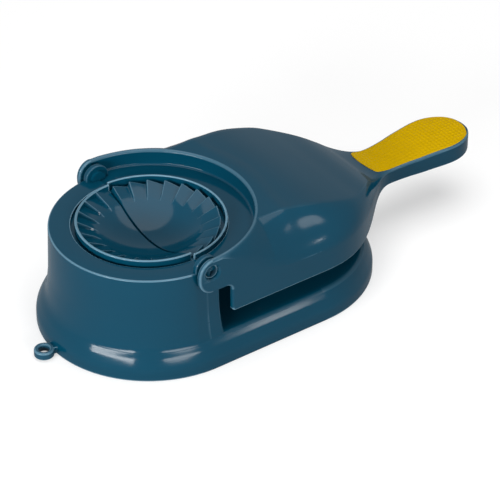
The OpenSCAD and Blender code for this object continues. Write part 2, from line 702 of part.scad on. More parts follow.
module lever_shell() {
    ear_hole_r = pin_r + pin_clear;
    color(blue) from_mould() difference() {
        union() {
            difference() {
                lever_outside();
                lever_inside();
                translate([0, 0, trough_under_z + over])
                    cylinder(h = collar_top_z, r = collar_r - collar_wall / 2, $fn = fine);
            }
            collar();
            ears();
            for (p = moving_screws)
                translate([p[0], p[1], trough_under_z - flange_t - 0.1])
                    cylinder(h = flange_t + 0.1 + grain, r = boss_r, $fn = small);
            for (p = posts)
                translate([p[0], p[1], post_end_z])
                    cylinder(h = top_z(p[0], p[1]) - 1 - post_end_z, r = screw_head_r - 0.3, $fn = small);
        }
        // the grip pad's pocket and the holes for its studs
        loft([for (x = grip_xs(0)) grip_ring(x, 0, -grip_t, 8)]);
        for (x = grip_screw_xs)
            translate([x, 0, grip_stud_z(x) - over])
                cylinder(h = lever_wall + 4, r = boss_r + hole_clear, $fn = small);
        // room for the lugs at the ends of the trough
        for (side = near_far)
            translate([-over, side > 0 ? lug_in_y - 0.3 : -lug_face_y - 0.3, trough_under_z - over])
                cube([lug_r + over + 1.2, lug_t + 0.6, collar_top_z]);
        for (side = near_far) {
            translate([0, side * lug_face_y, hinge_z]) rotate([-90 * side, 0, 0])
                cylinder(h = collar_r, r = ear_hole_r, $fn = small);
            translate([0, side * (collar_r - ear_bevel), hinge_z]) rotate([-90 * side, 0, 0])
                cylinder(h = ear_bevel + 0.01, r1 = ear_hole_r, r2 = ear_hole_r + ear_bevel, $fn = small);
        }
        for (p = moving_screws)
            translate([p[0], p[1], trough_under_z - flange_t - over])
                cylinder(h = flange_t + over + 1.6, r = screw_r, $fn = small);
        for (p = posts)
            translate([p[0], p[1], post_end_z - over])
                cylinder(h = post_screw_grip + over + 1.5, r = screw_r, $fn = small);
    }
}

base_tray();
fixed_mould_half();
mould_screws(fixed_screws, pot_under_z);  // fixed_mould_screws
lower_press_plate();
lower_plate_screws();
foot(foot_front_x, -foot_side_y);  // foot_front_near
foot(foot_front_x, foot_side_y);  // foot_front_far
foot(foot_rear_x, -foot_side_y);  // foot_rear_near
foot(foot_rear_x, foot_side_y);  // foot_rear_far
hinge_pin(-1);  // hinge_pin_near
hinge_pin(1);  // hinge_pin_far
lever_shell();
handle_grip();
grip_screws();
moving_mould_half();
mould_screws(moving_screws, trough_under_z);  // moving_mould_screws
upper_press_plate();
upper_plate_screws();
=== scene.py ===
"""Looks of a dumpling and empanada press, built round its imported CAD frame.

Sizes below are millimetres in the mould's own frame: the mould's axis is X = 0, the press
plates' axis lies at X = `press_x`, Z is up from the table. `in_row` turns them into the
row frame's metres.
"""

import math
from types import SimpleNamespace

import bmesh
import bpy
import numpy as np
from bpy.props import FloatProperty, PointerProperty, StringProperty
from mathutils import Matrix, Vector
from mathutils.geometry import tessellate_polygon


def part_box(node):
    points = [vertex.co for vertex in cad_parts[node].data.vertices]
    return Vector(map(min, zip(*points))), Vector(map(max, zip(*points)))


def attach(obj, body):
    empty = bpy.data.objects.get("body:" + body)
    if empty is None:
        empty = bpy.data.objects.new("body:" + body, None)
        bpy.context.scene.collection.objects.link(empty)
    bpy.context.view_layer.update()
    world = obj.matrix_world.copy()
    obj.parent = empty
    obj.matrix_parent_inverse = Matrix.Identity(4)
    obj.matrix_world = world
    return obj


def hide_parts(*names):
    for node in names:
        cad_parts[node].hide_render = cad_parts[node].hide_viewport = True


bl_info = {
    "name": "Dumpling and empanada press",
    "version": (1, 0, 0),
    "blender": (4, 5, 0),
    "location": "View3D > Sidebar > Dough press",
    "description": "Detailed mouldings, finishes and studio for the packed dough press",
    "category": "Object",
}

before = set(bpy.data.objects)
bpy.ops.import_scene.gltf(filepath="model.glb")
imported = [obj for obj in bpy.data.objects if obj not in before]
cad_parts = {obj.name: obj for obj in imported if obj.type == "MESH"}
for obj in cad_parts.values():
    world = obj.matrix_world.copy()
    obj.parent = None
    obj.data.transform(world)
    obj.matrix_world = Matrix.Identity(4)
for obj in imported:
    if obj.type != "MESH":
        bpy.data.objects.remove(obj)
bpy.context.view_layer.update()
MM = 0.001
TAU = 2 * math.pi
BEND_RANGE = (0.1, 0.95)    # curvatures per millimetre at which a painted highlight line starts and is full
LONG_SIDE = 6 * MM          # a face with a longer side than this carries no painted highlight line
FEET = [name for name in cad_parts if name.startswith("foot_")]


def length(name, millimetres, description):
    return FloatProperty(name=name, description=description, default=millimetres * MM,
                         unit="LENGTH", subtype="DISTANCE", precision=5)


def hex_colour(name, value, description):
    return StringProperty(name=name, description=description, default=value)


class BaseSizes(bpy.types.PropertyGroup):
    foot_r: length("Foot radius", 62.9, "Radius of the base's round ends at the table")
    edge_r: length("Edge radius", 3.2, "Radius of the round edge between the wall and the top")
    top_z: length("Top height", 17, "Height of the flat top above the table")
    rim_gap: length("Rim gap", 0.2, "Height of the lower edge above the table")
    wall: length("Wall", 2.4, "Thickness of the moulded tray")
    pot_r: length("Pot radius", 54.3, "Outer radius of the round pot at its top")
    pot_top_z: length("Pot height", 59.3, "Height of the pot's flat top")
    pot_wall: length("Pot wall", 2.5, "Thickness of the pot's wall")
    pot_straight_z: length("Pot straight", 33, "Height above which the pot's wall only tapers")
    pot_foot_z: length("Pot foot", 14.3, "Height at which the pot's wall goes over into the tray")
    mouth_r: length("Mouth radius", 42.3, "Inner radius of the pot's flat top")
    lug_r: length("Lug radius", 7.2, "Radius of the hinge lugs' round tops")
    lug_in_y: length("Lug inner face", 50.8, "Distance of the lugs' inner faces from the middle")
    lug_edge: length("Lug edge", 0.7, "Radius of the lugs' rounded edges")
    lug_room: length("Lug room", 1.2, "Room round a lug in the lever's trough")
    pin_wall: length("Pin wall", 0.75, "Wall of the hinge pins' hollow ends")
    pin_cup: length("Pin cup", 3.2, "Depth of the hinge pins' hollow ends")
    loop_r: length("Loop radius", 5.5, "Outer radius of the hanging loop")
    loop_hole_r: length("Loop hole", 3, "Radius of the hanging loop's hole")
    loop_t: length("Loop thickness", 4.5, "Height of the hanging loop")
    loop_x: length("Loop reach", 69.2, "Distance of the loop's hole from the mould's axis")


class MouldSizes(bpy.types.PropertyGroup):
    hinge_z: length("Hinge height", 60, "Height of the hinge line above the table")
    pleat_r: length("Pleat radius", 38, "Outer radius of the crimped pleats")
    pleat_in_r: length("Pleat inner radius", 29.5, "Radius at which the pleats run out into the bowl")
    pleat_high_z: length("Pleat high", 61.2, "Height of a pleat's upper edge at its outer end")
    pleat_fall: length("Pleat fall", 4.5, "How far the pleats' upper edges fall to their inner ends")
    pleat_step: length("Pleat step", 3.2, "Height of the step between two pleats at their outer ends")
    pleat_end: length("Pleat end", 1.2, "Height of the step between two pleats at their inner ends")
    bowl_low_z: length("Bowl bottom", 46.6, "Height of the bowl's lowest point")
    bowl_r: length("Bowl radius", 48, "Radius of the bowl's round bottom")
    wall: length("Wall", 2.2, "Thickness of the mould halves")
    fixed_rim_r: length("Fixed rim", 40, "Outer radius of the fixed half's rim")
    fixed_rim_z: length("Fixed rim height", 61.9, "Height of the fixed half's rim")
    moving_rim_r: length("Moving rim", 41.95, "Outer radius of the moving half's rim")
    moving_rim_z: length("Moving rim height", 61.8, "Height of the moving half's rim")
    flange_r: length("Flange radius", 49, "Outer radius of the flanges under the rims")
    flange_t: length("Flange thickness", 2.4, "Thickness of the flanges")
    fixed_rim_t: length("Fixed rim thickness", 1.5, "Thickness of the fixed half's rim")
    moving_rim_t: length("Moving rim thickness", 1.3, "Thickness of the moving half's rim")
    split: length("Split", 1.0, "Gap between the two halves")


class LeverSizes(bpy.types.PropertyGroup):
    press_x: length("Mould to press", 73, "Distance from the hinge line to the press plates' axis")
    collar_r: length("Collar radius", 59.3, "Half the lever's width, and the collar's outer radius")
    wall: length("Wall", 3, "Thickness of the collar, the ears and the skirt")
    top_z: length("Collar height", 68, "Height of the collar's round rim")
    trough_z: length("Trough height", 58.6, "Height of the trough's floor")
    trough_t: length("Trough thickness", 2.4, "Thickness of the trough's floor")
    trough_fillet: length("Trough fillet", 1.5, "Radius between the trough's floor and wall")
    trough_r: length("Trough mouth", 42.05, "Inner radius of the trough's floor, round the mould")
    collar_join: length("Collar join", 12, "Distance over which the top leaves the collar's crest")
    skirt_z: length("Skirt height", 30, "Height of the skirt's lower edge")
    skirt_x: length("Skirt front", 12.3, "Distance of the skirt's front edge from the hinge line")
    skirt_corner: length("Skirt corner", 2, "Radius of the skirt's front lower corner")
    cap_reach: length("Cap reach", 60.5, "How far the cap reaches behind the press axis")
    flank_reach: length("Flank reach", 81, "How far behind the press axis the cap's flanks run out")
    neck_z: length("Neck height", 41.2, "Height of the neck's top")
    handle_x: length("Handle end", 217.2, "Distance of the handle's end from the hinge line")
    neck_w: length("Neck half width", 13.3, "Half the neck's width")
    handle_w: length("Handle half width", 17.4, "Half the handle's width at its broadest")
    handle_low_z: length("Handle underside", 30.6, "Height of the handle's lower edge at its broadest")
    tip_r: length("Tip length", 21, "Length of the handle's rounded end")
    ear_r: length("Ear radius", 9.5, "Radius of the lever's ears, up and down")
    ear_reach: length("Ear reach", 8.4, "How far the ears reach in front of the hinge line")
    lip: length("Lower lip", 0.7, "Height of the roundness of the skirt's lower edge")
    ear_low_z: length("Ear foot", 47.5, "Height of the ears' lower edge")
    notch_r: length("Notch radius", 3.5, "Corner radius of the notch behind each ear")
    hole_r: length("Ear hole", 4.2, "Radius of the holes for the hinge pins")
    hole_depth: length("Ear hole depth", 10.3, "How far the ears' holes reach inwards")
    bevel: length("Hole bevel", 0.9, "Bevel round each ear's hole")
    grip_x: length("Grip start", 141.5, "Distance of the grip pad's nose from the hinge line")
    grip_nose: length("Grip nose", 5, "Length of the grip pad's rounded corners at the neck")
    grip_border: length("Grip border", 1.3, "Width of the blue border round the grip pad")
    grip_proud: length("Grip proud", 0.45, "How far the pad stands above the handle")
    grip_depth: length("Grip depth", 1.4, "How far the pad reaches into the handle")
    grip_edge: length("Grip edge", 0.8, "Radius of the pad's rounded edge")
    scale_pitch: length("Scale pitch", 2.4, "Distance between the pad's moulded scales")
    scale_h: length("Scale height", 0.3, "Height of the pad's moulded scales")


class Finishes(bpy.types.PropertyGroup):
    polypropylene: hex_colour("Polypropylene", "#03384C", "Petrol blue of the mouldings")
    deep_polypropylene: hex_colour("Inner polypropylene", "#02283A", "Blue of the inner plates")
    # painted highlight: light blue laid on the mouldings' sharply bent edges, standing in for the lamps'
    # highlights on their roundings
    edge: hex_colour("Moulded edges", "#6E93A6", "Light blue of the mouldings' thin edges")
    grip: hex_colour("Grip", "#B59200", "Mustard of the soft grip")
    steel: hex_colour("Screw steel", "#B9BDC1", "Zinc plated steel")
    rubber: hex_colour("Foot rubber", "#232323", "Black rubber of the feet")
    floor: hex_colour("Floor", "#F6F6F6", "Pale studio floor")


def in_mm(group):
    """The lengths of a property group as plain millimetres."""
    return SimpleNamespace(**{k: getattr(group, k) / MM for k in group.__annotations__})


def sizes():
    scene = bpy.context.scene
    return (in_mm(scene.press_base), in_mm(scene.press_mould), in_mm(scene.press_lever))


# ---------- surfaces ----------


def grid(points, wrap=False):
    """Points (rows, columns, 3) joined to their neighbours by four-sided faces; wrap joins
    the last column to the first."""
    rows, cols = points.shape[:2]
    i, j = np.meshgrid(np.arange(rows - 1), np.arange(cols if wrap else cols - 1), indexing="ij")
    k = (j + 1) % cols
    faces = np.stack([i * cols + j, i * cols + k, (i + 1) * cols + k, (i + 1) * cols + j], -1)
    return points.reshape(-1, 3), faces.reshape(-1, 4)


def flat_face(*loops):
    """Flat face inside the first loop of points and outside the others, in triangles."""
    found = tessellate_polygon([[Vector(p) for p in loop] for loop in loops])
    return np.concatenate(loops), np.array(found)


def turned(profile, turns, at=(0, 0)):
    """Profile (radius, height) turned about an upright axis: x = r cos t, y = r sin t."""
    r, h = np.asarray(profile, float).T[:, :, None]
    t = np.asarray(turns)[None, :]
    return np.stack([at[0] + r * np.cos(t), at[1] + r * np.sin(t), h + 0 * t], -1)


def full_turn(profile, at=(0, 0), steps=64):
    """Closed solid of revolution; a profile that is open starts and ends on the axis."""
    return grid(turned(profile, np.arange(steps) * TAU / steps, at), wrap=True)


def full_ring(profile, at=(0, 0), steps=64):
    """Closed ring: a closed profile carried through a full turn."""
    points = turned(profile, np.linspace(0, TAU, steps + 1), at)
    return grid(points.transpose(1, 0, 2), wrap=True)


def part_ring(profile, first, last, steps):
    """Closed profile carried from one angle to another, with flat ends."""
    points = turned(profile, np.linspace(first, last, steps + 1))
    skin = grid(points.transpose(1, 0, 2), wrap=True)
    return [skin, flat_face(points[:, 0]), flat_face(points[:, -1])]


def rounded(corners, closed=True, steps=5):
    """Corners (a, b, radius) joined by straight lines, each corner replaced by the arc of
    its radius that touches both lines: it starts radius / tan(half angle) from the corner."""
    out, n = [], len(corners)
    for i, (a, b, radius) in enumerate(corners):
        p = np.array([a, b], float)
        if radius == 0 or (not closed and i in (0, n - 1)):
            out.append(p[None])
            continue
        u = np.array(corners[i - 1][:2], float) - p
        v = np.array(corners[(i + 1) % n][:2], float) - p
        u, v = u / np.hypot(*u), v / np.hypot(*v)
        half = 0.5 * math.acos(max(-1, min(1, float(u @ v))))
        centre = p + (u + v) / np.hypot(*(u + v)) * radius / math.sin(half)
        start, end = u * radius / math.tan(half) + p - centre, v * radius / math.tan(half) + p - centre
        whole = math.pi - 2 * half
        s = np.linspace(0, 1, steps + 1)[:, None]
        out.append(centre + (np.sin((1 - s) * whole) * start + np.sin(s * whole) * end) / math.sin(whole))
    return np.concatenate(out)


def along_y(parts, at):
    """Turned solids laid down: their axis becomes the Y line through `at` (x, z)."""
    return [(np.stack([at[0] + p[:, 0], p[:, 2], at[1] + p[:, 1]], -1), f) for p, f in parts]


def mirrored(parts):
    """The same parts on the other side of the middle plane."""
    return [(p * (1, -1, 1), f) for p, f in parts]


def both_sides(parts):
    return parts + mirrored(parts)


def in_row(points):
    """Mould frame in millimetres to the row frame in metres."""
    press_x = bpy.context.scene.press_lever.press_x
    return np.asarray(points) * MM - (press_x, 0, 0)


def closed_mesh(name, parts):
    """One mesh of all parts, their common points welded and all faces pointing outwards."""
    count, points, faces = 0, [], []
    for p, f in parts:
        points.append(p)
        faces.extend((f + count).tolist())
        count += len(p)
    mesh = bpy.data.meshes.new(name)
    mesh.from_pydata(in_row(np.concatenate(points)).tolist(), [], faces)
    work = bmesh.new()
    work.from_mesh(mesh)
    bmesh.ops.remove_doubles(work, verts=work.verts, dist=2e-6)
    bmesh.ops.dissolve_degenerate(work, edges=work.edges, dist=1e-7)
    bmesh.ops.recalc_face_normals(work, faces=work.faces)
    work.to_mesh(mesh)
    work.free()
    return mesh


def carve(obj, cutters):
    """Takes the closed parts in `cutters` out of the object."""
    tool = bpy.data.objects.new("cutter", closed_mesh("cutter", cutters))
    bpy.context.scene.collection.objects.link(tool)
    cut = obj.modifiers.new("cut", "BOOLEAN")
    cut.operation, cut.solver, cut.object = "DIFFERENCE", "EXACT", tool
    cut.use_self = False
    before = len(obj.data.vertices)
    graph = bpy.context.evaluated_depsgraph_get()
    result = bpy.data.meshes.new_from_object(obj.evaluated_get(graph))
    if len(result.vertices) < before // 2:
        raise RuntimeError(f"{obj.name}: the cut lost the piece")
    obj.modifiers.clear()
    old, obj.data = obj.data, result
    bpy.data.meshes.remove(old)
    bpy.data.objects.remove(tool)


def mark_edges(mesh):
    """Stores as "edge", 0 to 1, the strength of the painted highlight line at each corner of its small
    faces, from how sharply the surface bends outwards there, and shades long flat faces flat. Mean curvature
    = sum over a point's edges of length x turn, over 4 x the area round it."""
    count = len(mesh.loops)
    edge_of, point_of = np.empty(count, np.int32), np.empty(count, np.int32)
    mesh.loops.foreach_get("edge_index", edge_of)
    mesh.loops.foreach_get("vertex_index", point_of)
    faces = len(mesh.polygons)
    sides, area = np.empty(faces, np.int32), np.empty(faces, np.float32)
    normal, centre = np.empty(3 * faces, np.float32), np.empty(3 * faces, np.float32)
    for key, values in (("loop_total", sides), ("area", area), ("normal", normal), ("center", centre)):
        mesh.polygons.foreach_get(key, values)
    normal, centre = normal.reshape(-1, 3), centre.reshape(-1, 3)
    face_of = np.repeat(np.arange(faces), sides)
    area_at = np.bincount(point_of, (area / sides)[face_of], len(mesh.vertices))
    order = np.argsort(edge_of, kind="stable")
    shared = np.bincount(edge_of, minlength=len(mesh.edges)) == 2
    first, second = face_of[order][shared[edge_of[order]]].reshape(-1, 2).T
    ends = np.empty(2 * len(mesh.edges), np.int32)
    mesh.edges.foreach_get("vertices", ends)
    ends = ends.reshape(-1, 2)
    points = np.empty(3 * len(mesh.vertices), np.float32)
    mesh.vertices.foreach_get("co", points)
    points = points.reshape(-1, 3)
    long = np.linalg.norm(points[ends[:, 0]] - points[ends[:, 1]], axis=1)
    longest = np.zeros(faces, np.float32)
    np.maximum.at(longest, face_of, long[edge_of])
    turn = np.arccos(np.clip((normal[first] * normal[second]).sum(1), -1, 1))
    turn *= -np.sign(((centre[second] - centre[first]) * normal[first]).sum(1))
    total = sum(np.bincount(ends[shared, i], long[shared] * turn, len(points)) for i in (0, 1))
    bend = total / (4 * np.maximum(area_at, 1e-12)) * MM
    share = np.clip((bend - BEND_RANGE[0]) / (BEND_RANGE[1] - BEND_RANGE[0]), 0, 1)
    corner = share[point_of] * (longest[face_of] < LONG_SIDE)
    line = mesh.attributes.new("edge", "FLOAT", "CORNER")
    line.data.foreach_set("value", corner.astype(np.float32))
    mesh.polygons.foreach_set("use_smooth", (sides == 4) | (longest < LONG_SIDE))


def weaken_edges(obj, share, where):
    """Lowers the painted highlight lines to `share` at the points, in the mould frame's millimetres, for
    which `where` holds."""
    mesh = obj.data
    points = np.empty(3 * len(mesh.vertices), np.float32)
    mesh.vertices.foreach_get("co", points)
    points = points.reshape(-1, 3) / MM + (bpy.context.scene.press_lever.press_x / MM, 0, 0)
    point_of = np.empty(len(mesh.loops), np.int32)
    mesh.loops.foreach_get("vertex_index", point_of)
    lines = np.empty(len(mesh.loops), np.float32)
    mesh.attributes["edge"].data.foreach_get("value", lines)
    lines[where(*points.T)[point_of]] *= share
    mesh.attributes["edge"].data.foreach_set("value", lines)


def piece(name, parts, material, body, replaced=(), crease=38, cutters=None):
    """A finished piece: welded, smooth up to the crease angle, riding on its body."""
    obj = bpy.data.objects.new(name, closed_mesh(name, parts))
    bpy.context.scene.collection.objects.link(obj)
    if cutters:
        carve(obj, cutters)
    mesh = obj.data
    mesh.name = name
    mesh.polygons.foreach_set("use_smooth", np.ones(len(mesh.polygons), bool))
    mesh.set_sharp_from_angle(angle=math.radians(crease))
    mark_edges(mesh)
    mesh.materials.clear()
    mesh.materials.append(material)
    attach(obj, body)
    if replaced:
        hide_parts(*replaced)
    return obj


# ---------- forms of the lever ----------


def curve(x, knots):
    """Smooth curve through knots (place, value): a cubic with the chord slopes."""
    k = np.array(knots, float)
    slope = np.array([(k[min(i + 1, len(k) - 1), 1] - k[max(i - 1, 0), 1])
                      / (k[min(i + 1, len(k) - 1), 0] - k[max(i - 1, 0), 0]) for i in range(len(k))])
    i = np.searchsorted(k[1:-1, 0], x, side="right")
    h = k[i + 1, 0] - k[i, 0]
    t = np.clip((x - k[i, 0]) / h, 0, 1)
    rise = t * t * (3 - 2 * t)
    return (k[i, 1] * (1 - rise) + k[i + 1, 1] * rise
            + h * slope[i] * t * (1 - t) ** 2 - h * slope[i + 1] * t * t * (1 - t))


# Places along the lever: 0 at the collar's back, 1 at the cap's rear wall, 2 at the
# handle's end, below 0 beside the mould. SIDE_KNOTS are the top of the flat side, as shares
# of the way from the skirt's lower edge to the collar's top; RIDGE_KNOTS the ridge's height,
# from the neck's top to the collar's; RIDGE_SIDE_KNOTS the ridge's distance from the middle,
# as shares of the half width. FULL_KNOTS say how full the shoulder's section is: 1 is a
# straight slope, 2 a quarter ellipse. CROWN_KNOTS are the crown's height in millimetres.
# WIDTH_KNOTS lead from the neck's half width to the handle's, LOW_KNOTS from the skirt's
# lower edge to the handle's.
SIDE_KNOTS = ((-0.8, 0.9605), (-0.7, 0.95), (-0.48, 0.71), (-0.35, 0.53), (-0.21, 0.434),
              (-0.1, 0.39), (0.1, 0.376), (0.35, 0.375), (0.7, 0.35), (0.9, 0.27), (1.0, 0.225),
              (1.15, 0.215), (1.3, 0.205), (1.5, 0.235), (1.7, 0.262), (2.0, 0.255))
RIDGE_KNOTS = ((-0.6, 1), (-0.12, 1), (-0.03, 0.998), (0.05, 0.965), (0.2, 0.9), (0.34, 0.81),
               (0.55, 0.637), (0.68, 0.52), (0.845, 0.378), (0.946, 0.25), (1.02, 0.13),
               (1.09, 0.035), (1.16, -0.03), (1.25, -0.07), (1.4, -0.05), (1.6, -0.005), (1.75, 0.007),
               (2.0, -0.01))
RIDGE_SIDE_KNOTS = ((-0.25, 0.69), (-0.1, 0.705), (0.05, 0.727), (0.2, 0.75), (0.43, 0.775),
                    (0.6, 0.81), (0.8, 0.8), (0.93, 0.77), (1.02, 0.76), (1.13, 0.8), (1.25, 0.88),
                    (1.4, 0.9), (2.0, 0.9))
FULL_KNOTS = ((-0.6, 1.7), (-0.25, 1.5), (0, 1.25), (0.2, 1.25), (0.4, 1.4), (0.6, 1.7), (0.85, 1.7),
              (1.0, 1.8), (1.15, 2.0), (1.3, 2.2), (2.0, 2.2))
CROWN_KNOTS = ((-0.6, 0), (-0.3, 0), (-0.1, 0.1), (0.3, 1.0), (0.7, 1.0), (0.95, 0.6), (1.1, 0.9),
               (1.5, 1.0), (2.0, 0.8))
WIDTH_KNOTS = ((0.5, 0), (1.2, 0), (1.3, 0.02), (1.4, 0.2), (1.5, 0.52), (1.6, 0.76), (1.7, 0.98),
               (1.8, 0.98), (2.0, 0.75))
LOW_KNOTS = ((0.9, 0), (1.22, 0), (1.42, 0.35), (1.6, 0.9), (1.75, 1.0), (2.0, 1.0))


class LeverForm:
    """The lever's outer surface as heights and half widths over X, and the same inset."""

    def __init__(self, lever):
        self.lever = lever
        self.wall_x = lever.press_x + lever.cap_reach
        self.crest_r = lever.collar_r - lever.wall / 2

    def along(self, x):
        lever = self.lever
        return np.where(x < self.wall_x, (x - lever.collar_r) / (self.wall_x - lever.collar_r),
                        1 + (x - self.wall_x) / (lever.handle_x - self.wall_x))

    def stalk_w(self, x, inset=0):
        """Half width of neck and handle, with the handle's rounded end."""
        lever = self.lever
        w = lever.neck_w + (lever.handle_w - lever.neck_w) * curve(self.along(x), WIDTH_KNOTS) - inset
        past = np.clip((x - lever.handle_x + lever.tip_r) / (lever.tip_r - inset), 0, 1)
        return w * np.sqrt(1 - past ** 2.2)

    def half_w(self, x, inset=0):
        """Half width: the cap's flanks run out into the stalk as (1 - u^2.5)^1.9."""
        lever = self.lever
        u = np.clip((x - lever.press_x) / lever.flank_reach, 0, 1)
        stalk = self.stalk_w(x, inset)
        return stalk + (lever.collar_r - lever.neck_w) * (1 - u ** 2.5) ** 1.9

    def low_z(self, x):
        """Height at which the lower lip's roundness starts."""
        lever = self.lever
        risen = (lever.handle_low_z - lever.skirt_z) * curve(self.along(x), LOW_KNOTS)
        return lever.skirt_z + lever.lip + risen

    def side_z(self, x):
        lever = self.lever
        return lever.skirt_z + (lever.top_z - lever.skirt_z) * curve(self.along(x), SIDE_KNOTS)

    def tip_share(self, x, reach=5.0):
        """1 along the lever, falling as a quarter round over the last `reach`."""
        s = np.clip((x - self.lever.handle_x + reach) / reach, 0, 1)
        return np.sqrt(1 - s * s)

    def from_collar(self, x, y, z):
        """The height z, but level with the collar at its crest: it takes over smoothly
        within `collar_join` of the crest."""
        top_z, join = self.lever.top_z, self.lever.collar_join
        share = np.clip((np.hypot(x, y) - self.crest_r) / join, 0, 1)
        return top_z + (z - top_z) * share * share * (3 - 2 * share)

    def open_ridge_z(self, x):
        lever = self.lever
        z = lever.neck_z + (lever.top_z - lever.neck_z) * curve(self.along(x), RIDGE_KNOTS)
        low = self.side_z(x)
        return low + (z - low) * self.tip_share(x)

    def ridge_z(self, x):
        return self.from_collar(x, self.ridge_w(x), self.open_ridge_z(x))

    def ridge_w(self, x, inset=0):
        """Distance of the ridge from the middle: on the collar's crest, then on its own."""
        own = self.half_w(x, inset) * curve(self.along(x), RIDGE_SIDE_KNOTS)
        crest = np.sqrt(np.clip(self.crest_r ** 2 - x * x, 0, None))
        return np.where(x < self.crest_r * 0.74, np.maximum(crest, own), own)

    def full(self, x):
        return curve(self.along(x), FULL_KNOTS)

    def crown(self, x):
        return curve(self.along(x), CROWN_KNOTS) * self.tip_share(x)

    def top_z(self, x, y):
        """Height of the surface at x and y: crowned top inside the ridge, a quarter of a
        superellipse from the ridge down to the flat side outside it."""
        w, r, d = self.half_w(x), self.ridge_w(x), np.abs(y)
        low, high = self.side_z(x), self.ridge_z(x)
        out = np.clip((d - r) / np.maximum(w - r, 0.01), 0, 1)
        top = high + self.crown(x) * (1 - np.clip(d / np.maximum(r, 0.01), 0, 1) ** 2)
        full = self.full(x)
        return np.where(d > r, low + (high - low) * (1 - out ** full) ** (1 / full), top)


QUARTER = 12      # facets of a quarter round on the lever
TOP_STEPS = 16    # facets from the ridge to the middle
SIDE_STEPS = 6    # facets up the flat side
TROUGH_STEPS = 8  # facets of the hollow's shoulder up to the trough's underside, and above it
QUARTER_TURN = np.radians(np.linspace(0, 90, QUARTER + 1))
SIDE_DROP = 0.6   # the hollow's flat side ends lower than the outer one by this share of the wall


def lever_stations(form, inset):
    """X of the sections behind the press axis, close together where the outline turns."""
    lever = form.lever
    cap = np.linspace(lever.press_x, lever.press_x + lever.flank_reach - inset, 62)
    handle = np.linspace(cap[-1], lever.handle_x - lever.tip_r, 30)[1:]
    round_end = np.sin(np.radians(np.r_[5:85:5, 85, 87, 88.6, 90]))
    tip = lever.handle_x - lever.tip_r + (lever.tip_r - inset) * round_end
    return np.concatenate([cap, handle, tip])


def shoulder_rows(form, x, inset, drop, turn, high=None):
    """Points of the shoulder's superellipse at `turn` from the flat side (0) to the ridge
    (90): distance and height go as cos and sin to the power 2 / fullness."""
    w, r = form.half_w(x, inset)[:, None], form.ridge_w(x, inset)[:, None]
    low = (form.side_z(x) - SIDE_DROP * drop)[:, None]
    high = (form.ridge_z(x) - drop)[:, None] if high is None else high
    turn = np.broadcast_to(turn, (len(x), np.shape(turn)[-1]))
    power = 2 / form.full(x)[:, None]
    return np.stack([x[:, None] + 0 * turn, r + (w - r) * np.clip(np.cos(turn), 0, 1) ** power,
                     low + (high - low) * np.sin(turn) ** power], -1)


def top_rows(form, x, inset, drop, crest):
    """Points from the ridge to `crest`, the distance from the middle where the top ends."""
    r = form.ridge_w(x, inset)[:, None]
    y = r + (crest[:, None] - r) * np.linspace(0, 1, TOP_STEPS + 1)
    z = form.open_ridge_z(x)[:, None] + form.crown(x)[:, None] * (1 - (y / np.maximum(r, 0.01)) ** 2)
    return np.stack([x[:, None] + 0 * y, y, form.from_collar(x[:, None], y, z) - drop], -1)


def side_rows(form, x, inset, drop):
    """Points up the flat side, from the lower lip to the shoulder."""
    low, high = form.low_z(x)[:, None], (form.side_z(x) - SIDE_DROP * drop)[:, None]
    share = np.linspace(0, 1, SIDE_STEPS + 1)
    return np.stack([x[:, None] + 0 * share, form.half_w(x, inset)[:, None] + 0 * share,
                     low + (high - low) * share], -1)


def arc_points(centre, radius, first, last, steps, hollow=False):
    """Points (x, z) and outward directions on an arc, in degrees; hollow arcs face inwards."""
    a = np.radians(np.linspace(first, last, steps + 1))
    n = np.stack([np.cos(a), np.sin(a)], -1)
    return np.array(centre) + radius * n, -n if hollow else n


def ear_edge(lever):
    """Inset outline of one side, from the ear's top round the ear, the notch and the
    skirt's front corner: points (x, z) and offsets to the true edge. The skirt's lower
    edge has a flatter roundness than the ear's."""
    half = lever.wall / 2
    reach, r = lever.ear_reach - half, lever.ear_r - half
    high, low = lever.top_z - lever.ear_r, lever.ear_low_z + lever.ear_r
    notch = (lever.skirt_x - lever.notch_r, lever.ear_low_z - lever.notch_r)
    points, offsets = [], []
    for z, first, last in ((high, 90, 180), (low, 180, 270)):
        p, n = arc_points((0, 0), 1, first, last, 20)
        n = n * (1 / reach, 1 / r)
        points.append(p * (reach, r) + (0, z))
        offsets.append(half * n / np.hypot(n[:, :1], n[:, 1:]))
    p, n = arc_points(notch, lever.notch_r + half, 90, 0, 12, hollow=True)
    points.append(p)
    offsets.append(half * n)
    p, n = arc_points((0, 0), 1, 180, 270, 8)
    corner = lever.skirt_corner
    points.append(p * (corner - half, corner - lever.lip) + (lever.skirt_x + corner, lever.skirt_z + corner))
    offsets.append(n * (half, lever.lip))
    x = np.linspace(points[-1][-1, 0], lever.press_x, 14)[1:]
    points.append(np.stack([x, 0 * x + lever.skirt_z + lever.lip], -1))
    offsets.append(np.tile((0.0, -lever.lip), (13, 1)))
    return np.concatenate(points), np.concatenate(offsets)


def outer_parts(form, edge, wall):
    """One side of the outer skin: shoulder and crowned top, the flat side behind the press
    axis, and the flat side with its ear in front of it."""
    lever = form.lever
    x_collar = form.crest_r * np.sin(np.radians(np.linspace(0, 90, 61)))
    x_cap = np.linspace(form.crest_r, lever.press_x, 16)[1:]
    x = np.concatenate([x_collar, x_cap, lever_stations(form, 0)[1:]])
    shoulder = shoulder_rows(form, x, 0, 0, QUARTER_TURN[None])
    crest = np.sqrt(np.clip(form.crest_r ** 2 - x ** 2, 0, None))
    top = top_rows(form, x, 0, 0, np.where(x < form.crest_r, crest, 0.0))
    top_edge = shoulder[x <= lever.press_x + 1e-9, 0][::-1]
    side = np.concatenate([upright(edge, lever.collar_r), wall[0, 1:], top_edge[1:-1]])
    return [grid(np.concatenate([shoulder, top[:, 1:]], 1)), grid(wall), flat_face(side)]


def upright(outline, y):
    """Outline (x, z) as points in the upright plane at y."""
    return np.stack([outline[:, 0], 0 * outline[:, 0] + y, outline[:, 1]], -1)


